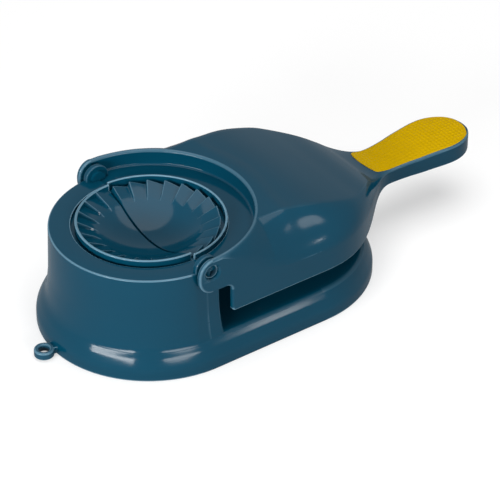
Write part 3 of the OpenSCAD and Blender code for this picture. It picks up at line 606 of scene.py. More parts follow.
def lower_edge_parts(lever, edge, outward, wall, wall_in):
    """Rounded lower edge of one side, from the ear's top to the handle's end: a half round,
    slightly squared."""
    bead, squared = lever.wall / 2, 0.75
    a = np.radians(np.linspace(0, 180, 2 * QUARTER + 1))[None]
    across = np.sign(np.cos(a)) * np.abs(np.cos(a)) ** squared
    down = np.sin(a).clip(0) ** squared
    y = lever.collar_r - bead + bead * across + 0 * edge[:, :1]
    front = np.stack([edge[:, :1] + down * outward[:, :1], y, edge[:, 1:] + down * outward[:, 1:]], -1)
    outer, inner = wall[:, :1], wall_in[:, :1]
    rear = (outer + inner) / 2 + (outer - inner) / 2 * across[..., None]
    rear = rear - np.array((0, 0, lever.lip)) * down[..., None]
    return [grid(front), grid(rear)]


def hollow_rows(form, x_in):
    """Rows of one side of the hollow: in front of the collar's crest the shoulder alone, up
    to the trough's underside, and behind the crest the shoulder and the top."""
    lever, drop = form.lever, form.lever.wall
    under_z = lever.trough_z - lever.trough_t
    x = np.linspace(0, form.crest_r, 800)
    start = np.interp(-under_z, -(form.side_z(x) - SIDE_DROP * drop), x)
    x_front = np.linspace(start, form.crest_r, 24)
    low = form.side_z(x_front) - SIDE_DROP * drop
    risen = np.clip((under_z - low) / (lever.top_z - drop - low), 0, 1)
    reached = np.arcsin(risen ** (form.full(x_front) / 2))
    share = np.linspace(0, 1, TROUGH_STEPS + 1)[None]
    front = shoulder_rows(form, x_front, drop, drop, reached[:, None] * share, lever.top_z - drop)
    front[0, :, 1] = lever.collar_r - drop
    x_back = np.concatenate([np.linspace(form.crest_r, lever.press_x, 10), x_in[1:]])
    above = reached[-1] + (math.pi / 2 - reached[-1]) * share[:, 1:]
    shoulder = shoulder_rows(form, x_back, drop, drop, np.concatenate([reached[-1] * share, above], 1))
    top = top_rows(form, x_back, drop, drop, 0 * x_back)
    back = np.concatenate([shoulder, top[:, 1:]], 1)
    back[0, :TROUGH_STEPS + 1] = front[-1]
    return front, shoulder[1:10, 0], back


def collar_ring(form):
    """Half turn of the collar: bead, wall, trough and the edge of the mould's opening."""
    lever, bead = form.lever, form.lever.wall / 2
    inner_y, under_z = lever.collar_r - lever.wall, lever.trough_z - lever.trough_t
    crest = np.stack([form.crest_r - bead * np.sin(QUARTER_TURN),
                      lever.top_z - bead + bead * np.cos(QUARTER_TURN)], -1)
    floor = rounded([(inner_y, lever.top_z - bead, 0), (inner_y, lever.trough_z, lever.trough_fillet),
                     (lever.trough_r, lever.trough_z, 0.5), (lever.trough_r, under_z, 0)],
                    closed=False, steps=6)
    return turned(np.concatenate([crest, floor[1:]]), np.radians(np.linspace(90, -90, 121)))


def lever_shell_parts(lever):
    """Closed skin of the lever: flat sides with ears, shoulders, crowned top, collar with
    its trough, and the hollow below. All parts meet in common points."""
    form = LeverForm(lever)
    inner_y, under_z = lever.collar_r - lever.wall, lever.trough_z - lever.trough_t
    edge, outward = ear_edge(lever)
    x_in = lever_stations(form, lever.wall)
    wall = side_rows(form, lever_stations(form, 0), 0, 0)
    wall_in = side_rows(form, x_in, lever.wall, lever.wall)
    front, cap_edge, back = hollow_rows(form, x_in)
    ring = collar_ring(form)
    corner = np.array([[0, inner_y, under_z]])
    fillet_top = [[0, inner_y, lever.trough_z + lever.trough_fillet]]
    inner_side = np.concatenate([upright(edge, inner_y), wall_in[0, 1:], cap_edge[::-1][1:], front[::-1, 0],
                                 corner, fillet_top])
    end = np.concatenate([ring[QUARTER + 1:, 0], corner])
    side = outer_parts(form, edge, wall) + lower_edge_parts(lever, edge, outward, wall, wall_in)
    side += [grid(front), grid(back), grid(wall_in), flat_face(inner_side), flat_face(end)]
    far = (1, -1, 1)
    ceiling = np.concatenate([ring[-1], corner * far, front[:, -1] * far, front[::-1, -1], corner])
    bulkhead = np.concatenate([back[0, TROUGH_STEPS:], back[0, TROUGH_STEPS:-1][::-1] * far])
    return both_sides(side) + [grid(ring), flat_face(ceiling), flat_face(bulkhead)]


def lever_cutters(base, mould, lever):
    """Bevelled holes for the hinge pins, and room for the lugs in the trough's ends."""
    w, over = lever.collar_r, 1
    inside = w - lever.hole_depth
    hole = full_turn([(0, inside), (lever.hole_r, inside), (lever.hole_r, w - lever.bevel),
                      (lever.hole_r + lever.bevel + over, w + over), (0, w + over)], steps=56)
    x = (-over, base.lug_r + base.lug_room)
    y = (base.lug_in_y - base.lug_room / 4, base.pot_r)
    z = (lever.trough_z - 1.5 * lever.trough_t, lever.trough_z + 1.5 * lever.trough_t)
    corners = ((x[0], y[0]), (x[1], y[0]), (x[1], y[1]), (x[0], y[1]))
    slot = np.array([[(*corner, height) for corner in corners] for height in z])
    room = [grid(slot, wrap=True), flat_face(slot[0]), flat_face(slot[1])]
    return both_sides(along_y([hole], (0, mould.hinge_z))) + both_sides(room)


# ---------- materials ----------


def linear(value):
    """sRGB hex to linear colour."""
    srgb = [int(value[i:i + 2], 16) / 255 for i in (1, 3, 5)]
    return [c / 12.92 if c <= 0.04045 else ((c + 0.055) / 1.055) ** 2.4 for c in srgb] + [1]


def add_node(tree, kind, settings=None, **inputs):
    """A shader node with its settings and its inputs: values, or sockets to link. An input
    goes by its name, with _ for a space, or by i and its number."""
    made = tree.nodes.new(kind)
    for key, value in (settings or {}).items():
        setattr(made, key, value)
    for key, value in inputs.items():
        place = int(key[1:]) if key[0] == "i" and key[1:].isdigit() else key.replace("_", " ")
        socket = made.inputs[place]
        if isinstance(value, bpy.types.NodeSocket):
            tree.links.new(value, socket)
        else:
            socket.default_value = value
    return made


def new_material(name):
    made = bpy.data.materials.new(name)
    made.use_nodes = True
    made.node_tree.nodes.clear()
    return made, made.node_tree


def per_metre(millimetres):
    """Noise scale whose features are about that size."""
    return 1000 / millimetres


def shade_range(tree, colour, noise, spread):
    """The colour between a slightly darker and a slightly lighter shade, by a noise."""
    base = linear(colour)
    ramp = add_node(tree, "ShaderNodeMix", {"data_type": "RGBA"}, Factor=noise)
    for socket, factor in ((6, 1 - spread), (7, 1 + spread)):
        ramp.inputs[socket].default_value = [min(1, c * factor) for c in base[:3]] + [1]
    return ramp.outputs[2]


def polypropylene(name, colour, painted_highlight_colour, gloss=0.11):
    """Injection-moulded polypropylene: an even petrol blue with a waxy gloss, very soft unevenness where the
    wall cooled, and the finest grain of the tool's polish; its sharply bent edges carry painted highlight
    lines in a lighter blue."""
    made, tree = new_material(name)
    where = add_node(tree, "ShaderNodeTexCoord").outputs["Object"]
    # flow marks, some 35 mm across
    flow = add_node(tree, "ShaderNodeTexNoise", Vector=where, Scale=per_metre(35), Detail=2.0)
    # polish grain, 0.35 mm, drawn coarser than the real one so that it can show
    grain = add_node(tree, "ShaderNodeTexNoise", Vector=where, Scale=per_metre(0.35), Detail=1.0)
    sink = add_node(tree, "ShaderNodeTexNoise", Vector=where, Scale=per_metre(14), Detail=0.0)
    wave = add_node(tree, "ShaderNodeBump", Height=sink.outputs[0], Strength=0.05, Distance=0.0006)
    fine = add_node(tree, "ShaderNodeBump", Height=grain.outputs[0], Normal=wave.outputs[0],
                    Strength=0.06, Distance=0.00004)
    # painted highlight: the moulded edges' sharp bends are mixed towards a light blue, standing in for the
    # lamps' highlights on their roundings
    bend = add_node(tree, "ShaderNodeAttribute", {"attribute_name": "edge"})
    share = add_node(tree, "ShaderNodeMath", {"operation": "MULTIPLY"}, i0=bend.outputs["Fac"], i1=0.8)
    skin = add_node(tree, "ShaderNodeMix", {"data_type": "RGBA"}, Factor=share.outputs[0],
                    i6=shade_range(tree, colour, flow.outputs[0], 0.07), i7=linear(painted_highlight_colour))
    # the gloss is the waxy skin alone, a good deal weaker than a lacquer's
    shader = add_node(tree, "ShaderNodeBsdfPrincipled", Base_Color=skin.outputs[2], Roughness=0.4, IOR=1.49,
                      Specular_IOR_Level=0.0, Normal=fine.outputs[0], Coat_Weight=0.28,
                      Coat_Roughness=gloss, Coat_Normal=fine.outputs[0])
    add_node(tree, "ShaderNodeOutputMaterial", Surface=shader.outputs[0])
    return made


def textured(name, colour, patches, detail, spread, roughness, grain, depth, **shading):
    """A finish in patches of slightly different shade and roughness. The bump follows a
    finer grain where `grain` gives its size, or else the patches."""
    made, tree = new_material(name)
    where = add_node(tree, "ShaderNodeTexCoord").outputs["Object"]
    patch = add_node(tree, "ShaderNodeTexNoise", Vector=where, Scale=per_metre(patches), Detail=detail)
    height = patch
    if grain:
        height = add_node(tree, "ShaderNodeTexNoise", Vector=where, Scale=per_metre(grain), Detail=1.0)
    rough = add_node(tree, "ShaderNodeMapRange", Value=patch.outputs[0], To_Min=roughness[0],
                     To_Max=roughness[1])
    strength, distance = depth
    fine = add_node(tree, "ShaderNodeBump", Height=height.outputs[0], Strength=strength, Distance=distance)
    shader = add_node(tree, "ShaderNodeBsdfPrincipled", Roughness=rough.outputs[0], Normal=fine.outputs[0],
                      Base_Color=shade_range(tree, colour, patch.outputs[0], spread), **shading)
    add_node(tree, "ShaderNodeOutputMaterial", Surface=shader.outputs[0])
    return made


def soft_grip(name, colour):
    """Thermoplastic rubber moulded over the handle: mustard, matt, with a faint bloom."""
    return textured(name, colour, patches=9, detail=3.0, spread=0.06, roughness=(0.4, 0.5), grain=0.3,
                    depth=(0.1, 0.00005), IOR=1.5, Specular_IOR_Level=0.02)


def zinc_steel(name, colour):
    """Zinc-plated steel of the screws: pale metal with fine turned marks."""
    return textured(name, colour, patches=0.5, detail=2.0, spread=0.08, roughness=(0.24, 0.4), grain=None,
                    depth=(0.15, 0.00005), Metallic=1.0)


def foot_rubber(name, colour):
    """Cured black rubber of the feet: matt, with a grey dusting."""
    return textured(name, colour, patches=2, detail=4.0, spread=0.2, roughness=(0.6, 0.85), grain=None,
                    depth=(0.2, 0.0001), IOR=1.52)


def finish(kind):
    """The material of one kind, made when it is first asked for."""
    colours = bpy.context.scene.press_finishes
    makers = {
        "polypropylene": lambda: polypropylene("polypropylene", colours.polypropylene, colours.edge),
        "inner_polypropylene": lambda: polypropylene("inner_polypropylene", colours.deep_polypropylene,
                                                     colours.edge, 0.36),
        "grip_rubber": lambda: soft_grip("grip_rubber", colours.grip),
        "zinc_steel": lambda: zinc_steel("zinc_steel", colours.steel),
        "foot_rubber": lambda: foot_rubber("foot_rubber", colours.rubber),
    }
    return bpy.data.materials.get(kind) or makers[kind]()


# ---------- pieces ----------


class PRESS_OT_base_tray(bpy.types.Operator):
    """Flared tray, round pot, hinge lugs and hanging loop, in one moulding"""

    bl_idname = "press.base_tray"
    bl_label = "Base tray"

    def execute(self, context):
        base, mould, lever = sizes()
        parts = tray_parts(base, lever) + pot_parts(base) + both_sides(lug_parts(base, mould))
        parts += loop_parts(base) + foot_post_parts(lever)
        tray = piece("base_moulding", parts, finish("polypropylene"), "base",
                     ["base_tray"])
        # the painted highlight lines are weaker on the lugs' edges than on the rims'
        weaken_edges(tray, 0.2, lambda x, y, z: (np.abs(x) < 9) & (np.abs(y) > base.lug_in_y - 1.3))
        return {"FINISHED"}


# The wall's height above the table and how far it flares there, as a share of the way
# from the pot's top radius to the foot's: upright at the foot, a slope that leans most at
# a quarter of the pot's height, and a hollow sweep into the slightly tapered pot.
FLARE_KNOTS = ((0, 1), (4, 1), (5.6, 0.991), (7, 0.958), (8.2, 0.905), (9.5, 0.838), (11, 0.757),
               (12.5, 0.671), (14, 0.570), (15.2, 0.490), (16.6, 0.409), (18, 0.349), (20, 0.289),
               (22, 0.249), (26, 0.187), (32, 0.116), (45, 0.058), (60, 0))
SLOPE = math.radians(28.5)      # the even slope's normal above the horizontal
LUG_FLAT = 7.5                  # half the turn, in degrees, over which the pot's wall is flat at a lug
POT_TAPER_TOP = 58              # height above which the pot's wall is upright, in millimetres


def flare_r(base, z):
    return base.pot_r + (base.foot_r - base.pot_r) * curve(np.asarray(z, float), FLARE_KNOTS)


def tray_parts(base, lever):
    """Profile of the flared tray carried round two half circles and the straights between
    them; in front of the hinge line the tray stops under the pot's wall."""
    in_edge = base.wall / 2
    pot_in = base.pot_r - base.pot_wall + in_edge
    under, low, edge = base.top_z - base.wall, base.rim_gap, base.edge_r
    slope_z = base.top_z - edge * (1 - math.sin(SLOPE))
    lip_r = 0.4
    z = np.linspace(low + lip_r, slope_z, 30)
    outside = np.stack([flare_r(base, z), z], -1)
    a = np.linspace(SLOPE, math.pi / 2, 9)[1:]
    centre = outside[-1] - edge * np.array((math.cos(SLOPE), math.sin(SLOPE)))
    shoulder = centre + edge * np.stack([np.cos(a), np.sin(a)], -1)
    z_in = np.linspace(low + 0.3, slope_z - base.wall, 14)
    inside = np.stack([flare_r(base, z_in) - base.wall, z_in], -1)
    inner_top = centre + (edge - in_edge) * np.stack([np.cos(a), np.sin(a)], -1) - (0, base.wall - in_edge)
    lip = [[base.foot_r - 0.3 * lip_r, low + 0.3 * lip_r], [base.foot_r - lip_r, low],
           [base.foot_r - base.wall + 0.3, low]]
    profile = np.concatenate([
        [[0, base.top_z], [pot_in, base.top_z]], shoulder[::-1], outside[::-1], lip,
        inside, inner_top, [[pot_in, under], [0, under]]])
    front = np.radians(np.linspace(90, 270, 145))
    rear = np.radians(np.linspace(-90, 90, 145))
    x = np.linspace(0, lever.press_x, 9)
    near = np.stack([x, 0 * x, 0 * x, 0 * x - 1], -1)
    far = near[::-1] * (1, 1, 1, -1)

    def arc(turn, at):
        return np.stack([0 * turn + at, 0 * turn, np.cos(turn), np.sin(turn)], -1)

    def sweep(path, shape):
        """Point = path centre + profile radius times the path's outward direction."""
        r, z = shape[None, :, 0], shape[None, :, 1]
        return np.stack([path[:, :1] + path[:, 2:3] * r, path[:, 1:2] + path[:, 3:] * r,
                         z + 0 * path[:, :1]], -1)

    rest = sweep(np.concatenate([near[:-1], arc(rear, lever.press_x), far[1:]]), profile)
    step = np.array([[0, y, z] for y, z in ((-pot_in, base.top_z), (0, base.top_z), (pot_in, base.top_z),
                                            (pot_in, under), (0, under), (-pot_in, under))])
    return [grid(sweep(arc(front, 0), profile[1:-1]), wrap=True), grid(rest), flat_face(step)]


def pot_parts(base):
    """Pot: its flared wall, rounded top edge and flat top, through half a turn; the wall
    is flat beside the lugs: radius = flat distance / cos(turn from the lug)."""
    inner = base.pot_r - base.pot_wall
    z = np.concatenate([np.linspace(base.pot_foot_z + 0.1, base.pot_straight_z, 40),
                        np.linspace(36, 56, 6)])
    # a hair inside the tray's wall where the two overlap
    sunk, sunk_z = 0.06, 15.2
    wall = np.stack([flare_r(base, z) - np.where(z < sunk_z, sunk, 0), z], -1)
    under = base.pot_top_z - base.pot_wall
    top_r = float(flare_r(base, POT_TAPER_TOP))
    top = rounded([(top_r, 57, 0), (top_r, base.pot_top_z, 0.9), (base.mouth_r, base.pot_top_z, 0.45),
                   (base.mouth_r, under, 0.3), (inner, under, 0), (inner, base.pot_foot_z, 0),
                   (base.pot_r + 2.2, base.pot_foot_z, 0)], closed=False)
    profile = np.concatenate([wall, top[1:]])
    first, last = 90 + LUG_FLAT, 270 - LUG_FLAT
    turns = np.radians(np.concatenate([np.linspace(90, first, 6), np.linspace(first, last, 166)[1:-1],
                                       np.linspace(last, 270, 6)]))
    points = turned(profile, turns)
    from_lug = np.minimum(np.abs(turns - math.pi / 2), np.abs(turns - 1.5 * math.pi))
    half_turn = math.radians(LUG_FLAT)
    flat = np.where(from_lug < half_turn, math.cos(half_turn) / np.cos(from_lug), 1.0)
    outer = (profile[:, 0] > inner + 0.5) & (profile[:, 1] > base.pot_foot_z + 0.05)
    points[outer, :, :2] *= flat[None, :, None]
    return [grid(points.transpose(1, 0, 2), wrap=True), flat_face(points[:, 0]), flat_face(points[:, -1])]


def lug_parts(base, mould):
    """Tombstone lug: an outline carried up, over the round top and down, with rounded
    edges; its outer face and its rear edge flare at the foot as the pot's wall does."""
    r, edge, flat = base.lug_r, base.lug_edge, math.cos(math.radians(LUG_FLAT))
    foot_z, straight_z = base.top_z - 1, base.pot_straight_z
    up = np.concatenate([np.linspace(foot_z, straight_z, 24)[:-1],
                         np.linspace(straight_z, mould.hinge_z, 10)])
    flare = np.clip(flare_r(base, up) - flare_r(base, straight_z), 0, None)
    over = np.radians(np.linspace(0, 180, 41))[1:-1]
    zero, one = 0 * up, 0 * up + 1
    line = np.concatenate([
        np.stack([r + flare, up, one, zero, edge + flare], -1),
        np.stack([r * np.cos(over), mould.hinge_z + r * np.sin(over), np.cos(over), np.sin(over),
                  0 * over + edge], -1),
        np.stack([zero - r, up[::-1], -one, zero, zero + edge], -1)])
    y_out = flare_r(base, np.minimum(line[:, 1], POT_TAPER_TOP)) * flat - 0.03
    a = np.radians(np.linspace(0, 90, 7))
    out_edge = line[:, 4:5]
    inset = np.concatenate([out_edge * (1 - np.sin(a)), edge * (1 - np.cos(a)) + 0 * out_edge], 1)
    y = np.concatenate([y_out[:, None] - out_edge * (1 - np.cos(a)),
                        base.lug_in_y + edge * (1 - np.sin(a)) + 0 * out_edge], 1)
    rows = np.stack([line[:, :1] - inset * line[:, 2:3], y, line[:, 1:2] - inset * line[:, 3:4]], -1)
    middle_z = np.minimum(line[:, 1], mould.hinge_z)
    first = np.stack([0 * middle_z, y_out, middle_z], -1)[:, None]
    last = np.stack([0 * middle_z, 0 * middle_z + base.lug_in_y, middle_z], -1)[:, None]
    rows = np.concatenate([first, rows, last], 1)
    under = np.concatenate([rows[0], rows[-1][::-1]])
    return [grid(rows), flat_face(under)]


def loop_parts(base):
    """Hanging loop: a ring with rounded edges, and a neck that flares into the tray."""
    low = base.rim_gap + 0.6
    high = low + base.loop_t
    profile = rounded([(base.loop_hole_r, low, 0.7), (base.loop_r, low, 0.8), (base.loop_r, high, 1.1),
                       (base.loop_hole_r, high, 1.0)], steps=6)
    # the neck starts inside the ring and ends under the tray's wall
    front, back = base.loop_r * 0.78 - base.loop_x, 3 - base.foot_r
    share = np.linspace(0, 1, 15)[:, None]
    half_w = 3.0 + 2.6 * share ** 3
    across, z = rounded([(-1, low + 0.1, 0.5), (1, low + 0.1, 0.5), (1, high - 0.15, 0.28),
                         (-1, high - 0.15, 0.28)], steps=5).T
    neck = np.stack([front + (back - front) * share + 0 * across, half_w * across, z + 0 * share], -1)
    ring = full_ring(profile, (-base.loop_x, 0), 72)
    return [ring, grid(neck, wrap=True), flat_face(neck[0]), flat_face(neck[-1])]


def foot_post_parts(lever):
    """Posts under the tray that hold the rubber feet, each over its foot."""
    hole_r, post_r, low_z, top_z = 2.6, 4.3, 2.3, 15    # millimetres
    profile = rounded([(hole_r, low_z, 0.2), (post_r, low_z, 0.4), (post_r, top_z, 0), (hole_r, top_z, 0)],
                      steps=3)
    posts = []
    for name in FEET:
        low, high = (np.array(corner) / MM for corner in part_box(name))
        x, y, _ = (low + high) / 2
        posts.append(full_ring(profile, (x + lever.press_x, y), 40))
    return posts


class PRESS_OT_mould_halves(bpy.types.Operator):
    """The fixed and the moving half of the crimping mould"""

    bl_idname = "press.mould_halves"
    bl_label = "Mould halves"

    def execute(self, context):
        base, mould, lever = sizes()
        blue = finish("polypropylene")
        fixed = mould_parts(mould, -1, mould.fixed_rim_r, mould.fixed_rim_t, mould.fixed_rim_z,
                            mould.fixed_rim_r - 1.2, base.pot_top_z - base.pot_wall)
        moving = mould_parts(mould, 1, mould.moving_rim_r, mould.moving_rim_t, mould.moving_rim_z,
                             mould.pleat_r - 0.3, lever.trough_z - lever.trough_t)
        halves = (piece("mould_front_half", fixed, blue, "base",
                        ["fixed_mould_half"], crease=50),
                  piece("mould_rear_half", moving, blue, "lever",
                        ["moving_mould_half"], crease=50))
        for half in halves:
            # the painted highlight lines are weaker on the pleats' edges than on the rims', and left off
            # along the split
            weaken_edges(half, 0.3, lambda x, y, z: np.hypot(x, y) < mould.pleat_r + 0.2)
            weaken_edges(half, 0.0, lambda x, y, z: (np.abs(x) < 1.2) & (np.hypot(x, y) < mould.pleat_r))
        return {"FINISHED"}


PLEAT_TURN = 15    # degrees from pleat to pleat


def pleat_height(turn):
    """Share of a pleat's height at turn 0 to 1 through it: a slow rise to 0.93 and a quick
    fall, its two corners rounded by averaging over 0.03 of a pleat."""
    t = np.linspace(-1, 2, 3001)
    p = t % 1
    saw = np.where(p < 0.93, p / 0.93, (1 - p) / 0.07)
    soft = np.convolve(saw, np.ones(31) / 31, mode="same")
    return np.interp(turn % 1, t, soft)


def round_over(height, away, width, depth):
    """The surface with a rounded edge: `depth` lower at the edge, unchanged `width` away."""
    share = np.clip(1 - away / width, 0, 1)
    return height - depth * (1 - np.sqrt(1 - share * share))


def mould_parts(mould, side, rim_r, rim_t, rim_z, skin_r, under_z):
    """Half a bowl out to `skin_r`, in front of the hinge line (side -1) or behind it (1):
    height = the lower of a sphere and the pleats, with a soft corner where they meet.
    Then rim and flange, a profile through half a turn."""
    turns = np.concatenate([np.radians([0, 0.2, 0.4, 0.7]), np.radians(np.arange(1, 180, 0.5)),
                            np.radians([179.3, 179.6, 179.8, 180])])
    radii = np.concatenate([np.linspace(0.4, 26, 16), np.linspace(26.5, skin_r - 0.4, 34),
                            [skin_r - 0.15, skin_r]])
    r, a = np.meshgrid(radii, turns, indexing="ij")
    bowl = mould.bowl_low_z + mould.bowl_r - np.sqrt(mould.bowl_r ** 2 - r * r)
    out = np.maximum((r - mould.pleat_in_r) / (mould.pleat_r - mould.pleat_in_r), -0.3)
    step = np.maximum(mould.pleat_end + (mould.pleat_step - mould.pleat_end) * out, 0)
    crest = mould.pleat_high_z - mould.pleat_fall * (1 - out)
    pleat = crest - step * (1 - pleat_height(np.degrees(a) / PLEAT_TURN))
    soft = 0.1
    top = -soft * np.logaddexp(-bowl / soft, -pleat / soft)
    # rounded edges along the split, and on the moving half along its outer end
    top = round_over(top, r * np.sin(a), 0.35, 0.3)
    if side > 0:
        top = round_over(top, skin_r - r, 0.4, 0.35)
    under = np.minimum(bowl, crest - step) - mould.wall
    # the split narrows downwards
    start = -math.pi / 2 * side
    x, y = r * np.cos(start + a), r * np.sin(start + a)
    upper = np.stack([x + side * mould.split / 2, y, top], -1)
    lower = np.stack([x + side * mould.split / 10, y, under], -1)
    skin = [grid(upper), grid(lower)]
    for end in (0, -1):
        skin += [grid(np.stack([upper[end], lower[end]])), grid(np.stack([upper[:, end], lower[:, end]]))]
    floor_z = under_z - mould.flange_t
    in_r = skin_r - 1.6
    profile = rounded([
        (in_r, floor_z, 0), (mould.flange_r, floor_z, 0.3), (mould.flange_r, under_z - 0.02, 0.3),
        (rim_r, under_z - 0.02, 0), (rim_r, rim_z, rim_t * 0.48), (rim_r - rim_t, rim_z, rim_t * 0.48),
        (rim_r - rim_t, under_z + 0.25, 0), (in_r, under_z + 0.25, 0)], steps=6)
    gap = math.asin(mould.split / 2 / rim_r)
    first = start + gap
    return skin + part_ring(profile, first, first + math.pi - 2 * gap, 180)


class PRESS_OT_lever(bpy.types.Operator):
    """Lever: collar with trough and ears, cap, skirt and handle, in one moulding"""

    bl_idname = "press.lever"
    bl_label = "Lever"

    def execute(self, context):
        base, mould, lever = sizes()
        piece("lever_moulding", lever_shell_parts(lever), finish("polypropylene"), "lever",
              ["lever_shell"], cutters=lever_cutters(base, mould, lever))
        return {"FINISHED"}


class PRESS_OT_grip(bpy.types.Operator):
    """Soft grip pad with its moulded scales"""

    bl_idname = "press.grip"
    bl_label = "Grip"

    def execute(self, context):
        base, mould, lever = sizes()
        piece("grip_pad", grip_parts(lever), finish("grip_rubber"), "lever",
              ["handle_grip"], crease=60)
        return {"FINISHED"}


GRIP_TIP_R = 15    # radius, in millimetres, to which the pad's rear end rounds


def grip_parts(lever):
    """Pad over the handle: height = handle's surface + a rounded edge + scales, the square
    of cos(pi x / p) cos(pi y / p), which leave a plain border."""
    form = LeverForm(lever)
    end_x = lever.handle_x - lever.grip_border * 1.6
    s = (1 - np.cos(np.linspace(0, math.pi, 380))) / 2
    x = (lever.grip_x + 0.02 + (end_x - lever.grip_x - 0.04) * s)[:, None]
    nose = np.clip((x - lever.grip_x) / lever.grip_nose, 0, 1)
    tail = np.clip(end_x - x, 0, None)
    half = (form.stalk_w(x) - lever.grip_border) * np.sqrt(1 - (1 - nose) ** 2)
    half = np.minimum(half, np.sqrt(2 * GRIP_TIP_R * tail))
    across = np.sin(np.linspace(-math.pi / 2, math.pi / 2, 120))[None]
    y = half * across
    ends = np.minimum(x - lever.grip_x, end_x - x)
    inside = np.minimum(half - np.abs(y), ends)
    edge = np.clip(inside / lever.grip_edge, 0, 1)
    proud = lever.grip_proud * np.sqrt(1 - (1 - edge) ** 2)
    p = lever.scale_pitch
    scale = np.cos(math.pi * x / p) * np.cos(math.pi * y / p)
    fade = np.clip((inside - 1.0) / 0.6, 0, 1)
    scales = lever.scale_h * fade * (scale ** 2 - 0.5)
    surface = form.top_z(x + 0 * y, y)
    upper = np.stack([x + 0 * y, y, surface + proud + scales - 0.02], -1)
    lower = np.stack([x + 0 * y, y, surface - lever.grip_depth], -1)
    sides = [grid(np.stack([upper[:, end], lower[:, end]])) for end in (0, -1)]
    sides += [grid(np.stack([upper[end], lower[end]])) for end in (0, -1)]
    return [grid(upper), grid(lower)] + sides


class PRESS_OT_plates(bpy.types.Operator):
    """Lower and upper press plates"""

    bl_idname = "press.plates"
    bl_label = "Press plates"

    def execute(self, context):
        for name in ("lower_press_plate", "upper_press_plate"):
            wear(name, finish("inner_polypropylene"))
        return {"FINISHED"}


class PRESS_OT_hinge_pins(bpy.types.Operator):
    """Hinge pins with their hollow ends, seen in the ears' holes"""

    bl_idname = "press.hinge_pins"
    bl_label = "Hinge pins"

    def execute(self, context):
        base, mould, lever = sizes()
        low, high = (np.array(c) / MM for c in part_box("hinge_pin_far"))
        r, inner, outer = (high[2] - low[2]) / 2, low[1], high[1]
        cup_r, cup_y = r - base.pin_wall, outer - base.pin_cup
        bevel, taper = 0.3, 0.2
        pin = full_turn([(0, inner), (r, inner), (r, outer - bevel), (r - bevel, outer),
                         (cup_r, outer), (cup_r - taper, cup_y), (0, cup_y)], steps=56)
        far = along_y([pin], (0, mould.hinge_z))
        for name, parts in (("pin_far", far), ("pin_near", mirrored(far))):
            piece(name, parts, finish("inner_polypropylene"), "base",
                  ["hinge_" + name], crease=30)
        return {"FINISHED"}


class PRESS_OT_fasteners(bpy.types.Operator):
    """Screws and rubber feet"""

    bl_idname = "press.fasteners"
    bl_label = "Screws and feet"

    def execute(self, context):
        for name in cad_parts:
            if name.endswith("_screws"):
                wear(name, finish("zinc_steel"))
        for name in FEET:
            wear(name, finish("foot_rubber"))
        return {"FINISHED"}


def wear(name, material):
    """Gives a CAD node its material."""
    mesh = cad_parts[name].data
    mesh.materials.clear()
    mesh.materials.append(material)


# ---------- studio ----------


class PRESS_OT_studio(bpy.types.Operator):
    """Pale floor, white backdrop, soft lights and the camera"""

    bl_idname = "press.studio"
    bl_label = "Studio"

    def execute(self, context):
        scene = context.scene
        scene.view_settings.view_transform = "Standard"
        make_floor(scene)
        make_backdrop(scene)
        for lamp in LAMPS:
            softbox(*lamp)
        make_camera(scene)
        return {"FINISHED"}


# Name, degrees round the press from +X, degrees up, metres wide and high, watts, shape: long
# low softboxes left and right of the camera, two small ones for the sparks on the tray and
# the lever's shoulder, and a large one overhead.
LAMPS = (("left", -162, 14.5, (0.87, 0.17), 15.5, "RECTANGLE"),
         ("right", -98, 14.5, (0.75, 0.2), 6.2, "ELLIPSE"),
         ("spark", -61.5, 14, (0.06, 0.05), 0.25, "RECTANGLE"),
         ("shoulder", -54, 31, (0.2, 0.2), 0.8, "DISK"),
         ("top", 10, 84, (1.4, 1.4), 15.0, "DISK"))
LAMP_AIM = Vector((-0.04, 0, 0.03))
LAMP_AWAY = 1.2
WORLD_LIGHT = 0.15              # the white surroundings' strength as a light
FLOOR_GREY = (0.5, 0.5, 0.5, 1)    # the floor's colour for the light that it throws back


def looked_at(tree):
    """1 for rays from the camera, from reflections and through clear things, else 0."""
    path = add_node(tree, "ShaderNodeLightPath")
    seen = path.outputs["Is Camera Ray"]
    for kind in ("Is Glossy Ray", "Is Transmission Ray"):
        either = add_node(tree, "ShaderNodeMath", {"operation": "MAXIMUM"}, i0=seen, i1=path.outputs[kind])
        seen = either.outputs[0]
    return seen


def make_floor(scene):
    size = 4.0
    corners = [(-size, -size, 0), (size, -size, 0), (size, size, 0), (-size, size, 0)]
    mesh = bpy.data.meshes.new("studio_floor")
    mesh.from_pydata(corners, [], [(0, 1, 2, 3)])
    made, tree = new_material("studio_floor_paint")
    colour = linear(scene.press_finishes.floor)
    matt = add_node(tree, "ShaderNodeBsdfDiffuse", Color=colour)
    bounce = add_node(tree, "ShaderNodeBsdfDiffuse", Color=FLOOR_GREY)
    # white wherever the camera or a reflection looks at it: half shade near the object, so
    # that its shadow stays, and plain white from a metre away
    white = add_node(tree, "ShaderNodeEmission", Color=(1, 1, 1, 1), Strength=1.0)
    where = add_node(tree, "ShaderNodeTexCoord").outputs["Object"]
    away = add_node(tree, "ShaderNodeVectorMath", {"operation": "LENGTH"}, i0=where)
    plain = add_node(tree, "ShaderNodeMapRange", {"interpolation_type": "SMOOTHSTEP"},
                     Value=away.outputs["Value"], From_Min=0.2, From_Max=1.0, To_Min=0.5, To_Max=1.0)
    lit = add_node(tree, "ShaderNodeMixShader", i0=plain.outputs[0], i1=matt.outputs[0], i2=white.outputs[0])
    mix = add_node(tree, "ShaderNodeMixShader", i0=looked_at(tree), i1=bounce.outputs[0], i2=lit.outputs[0])
    add_node(tree, "ShaderNodeOutputMaterial", Surface=mix.outputs[0])
    mesh.materials.append(made)
    floor = bpy.data.objects.new("studio_floor", mesh)
    scene.collection.objects.link(floor)


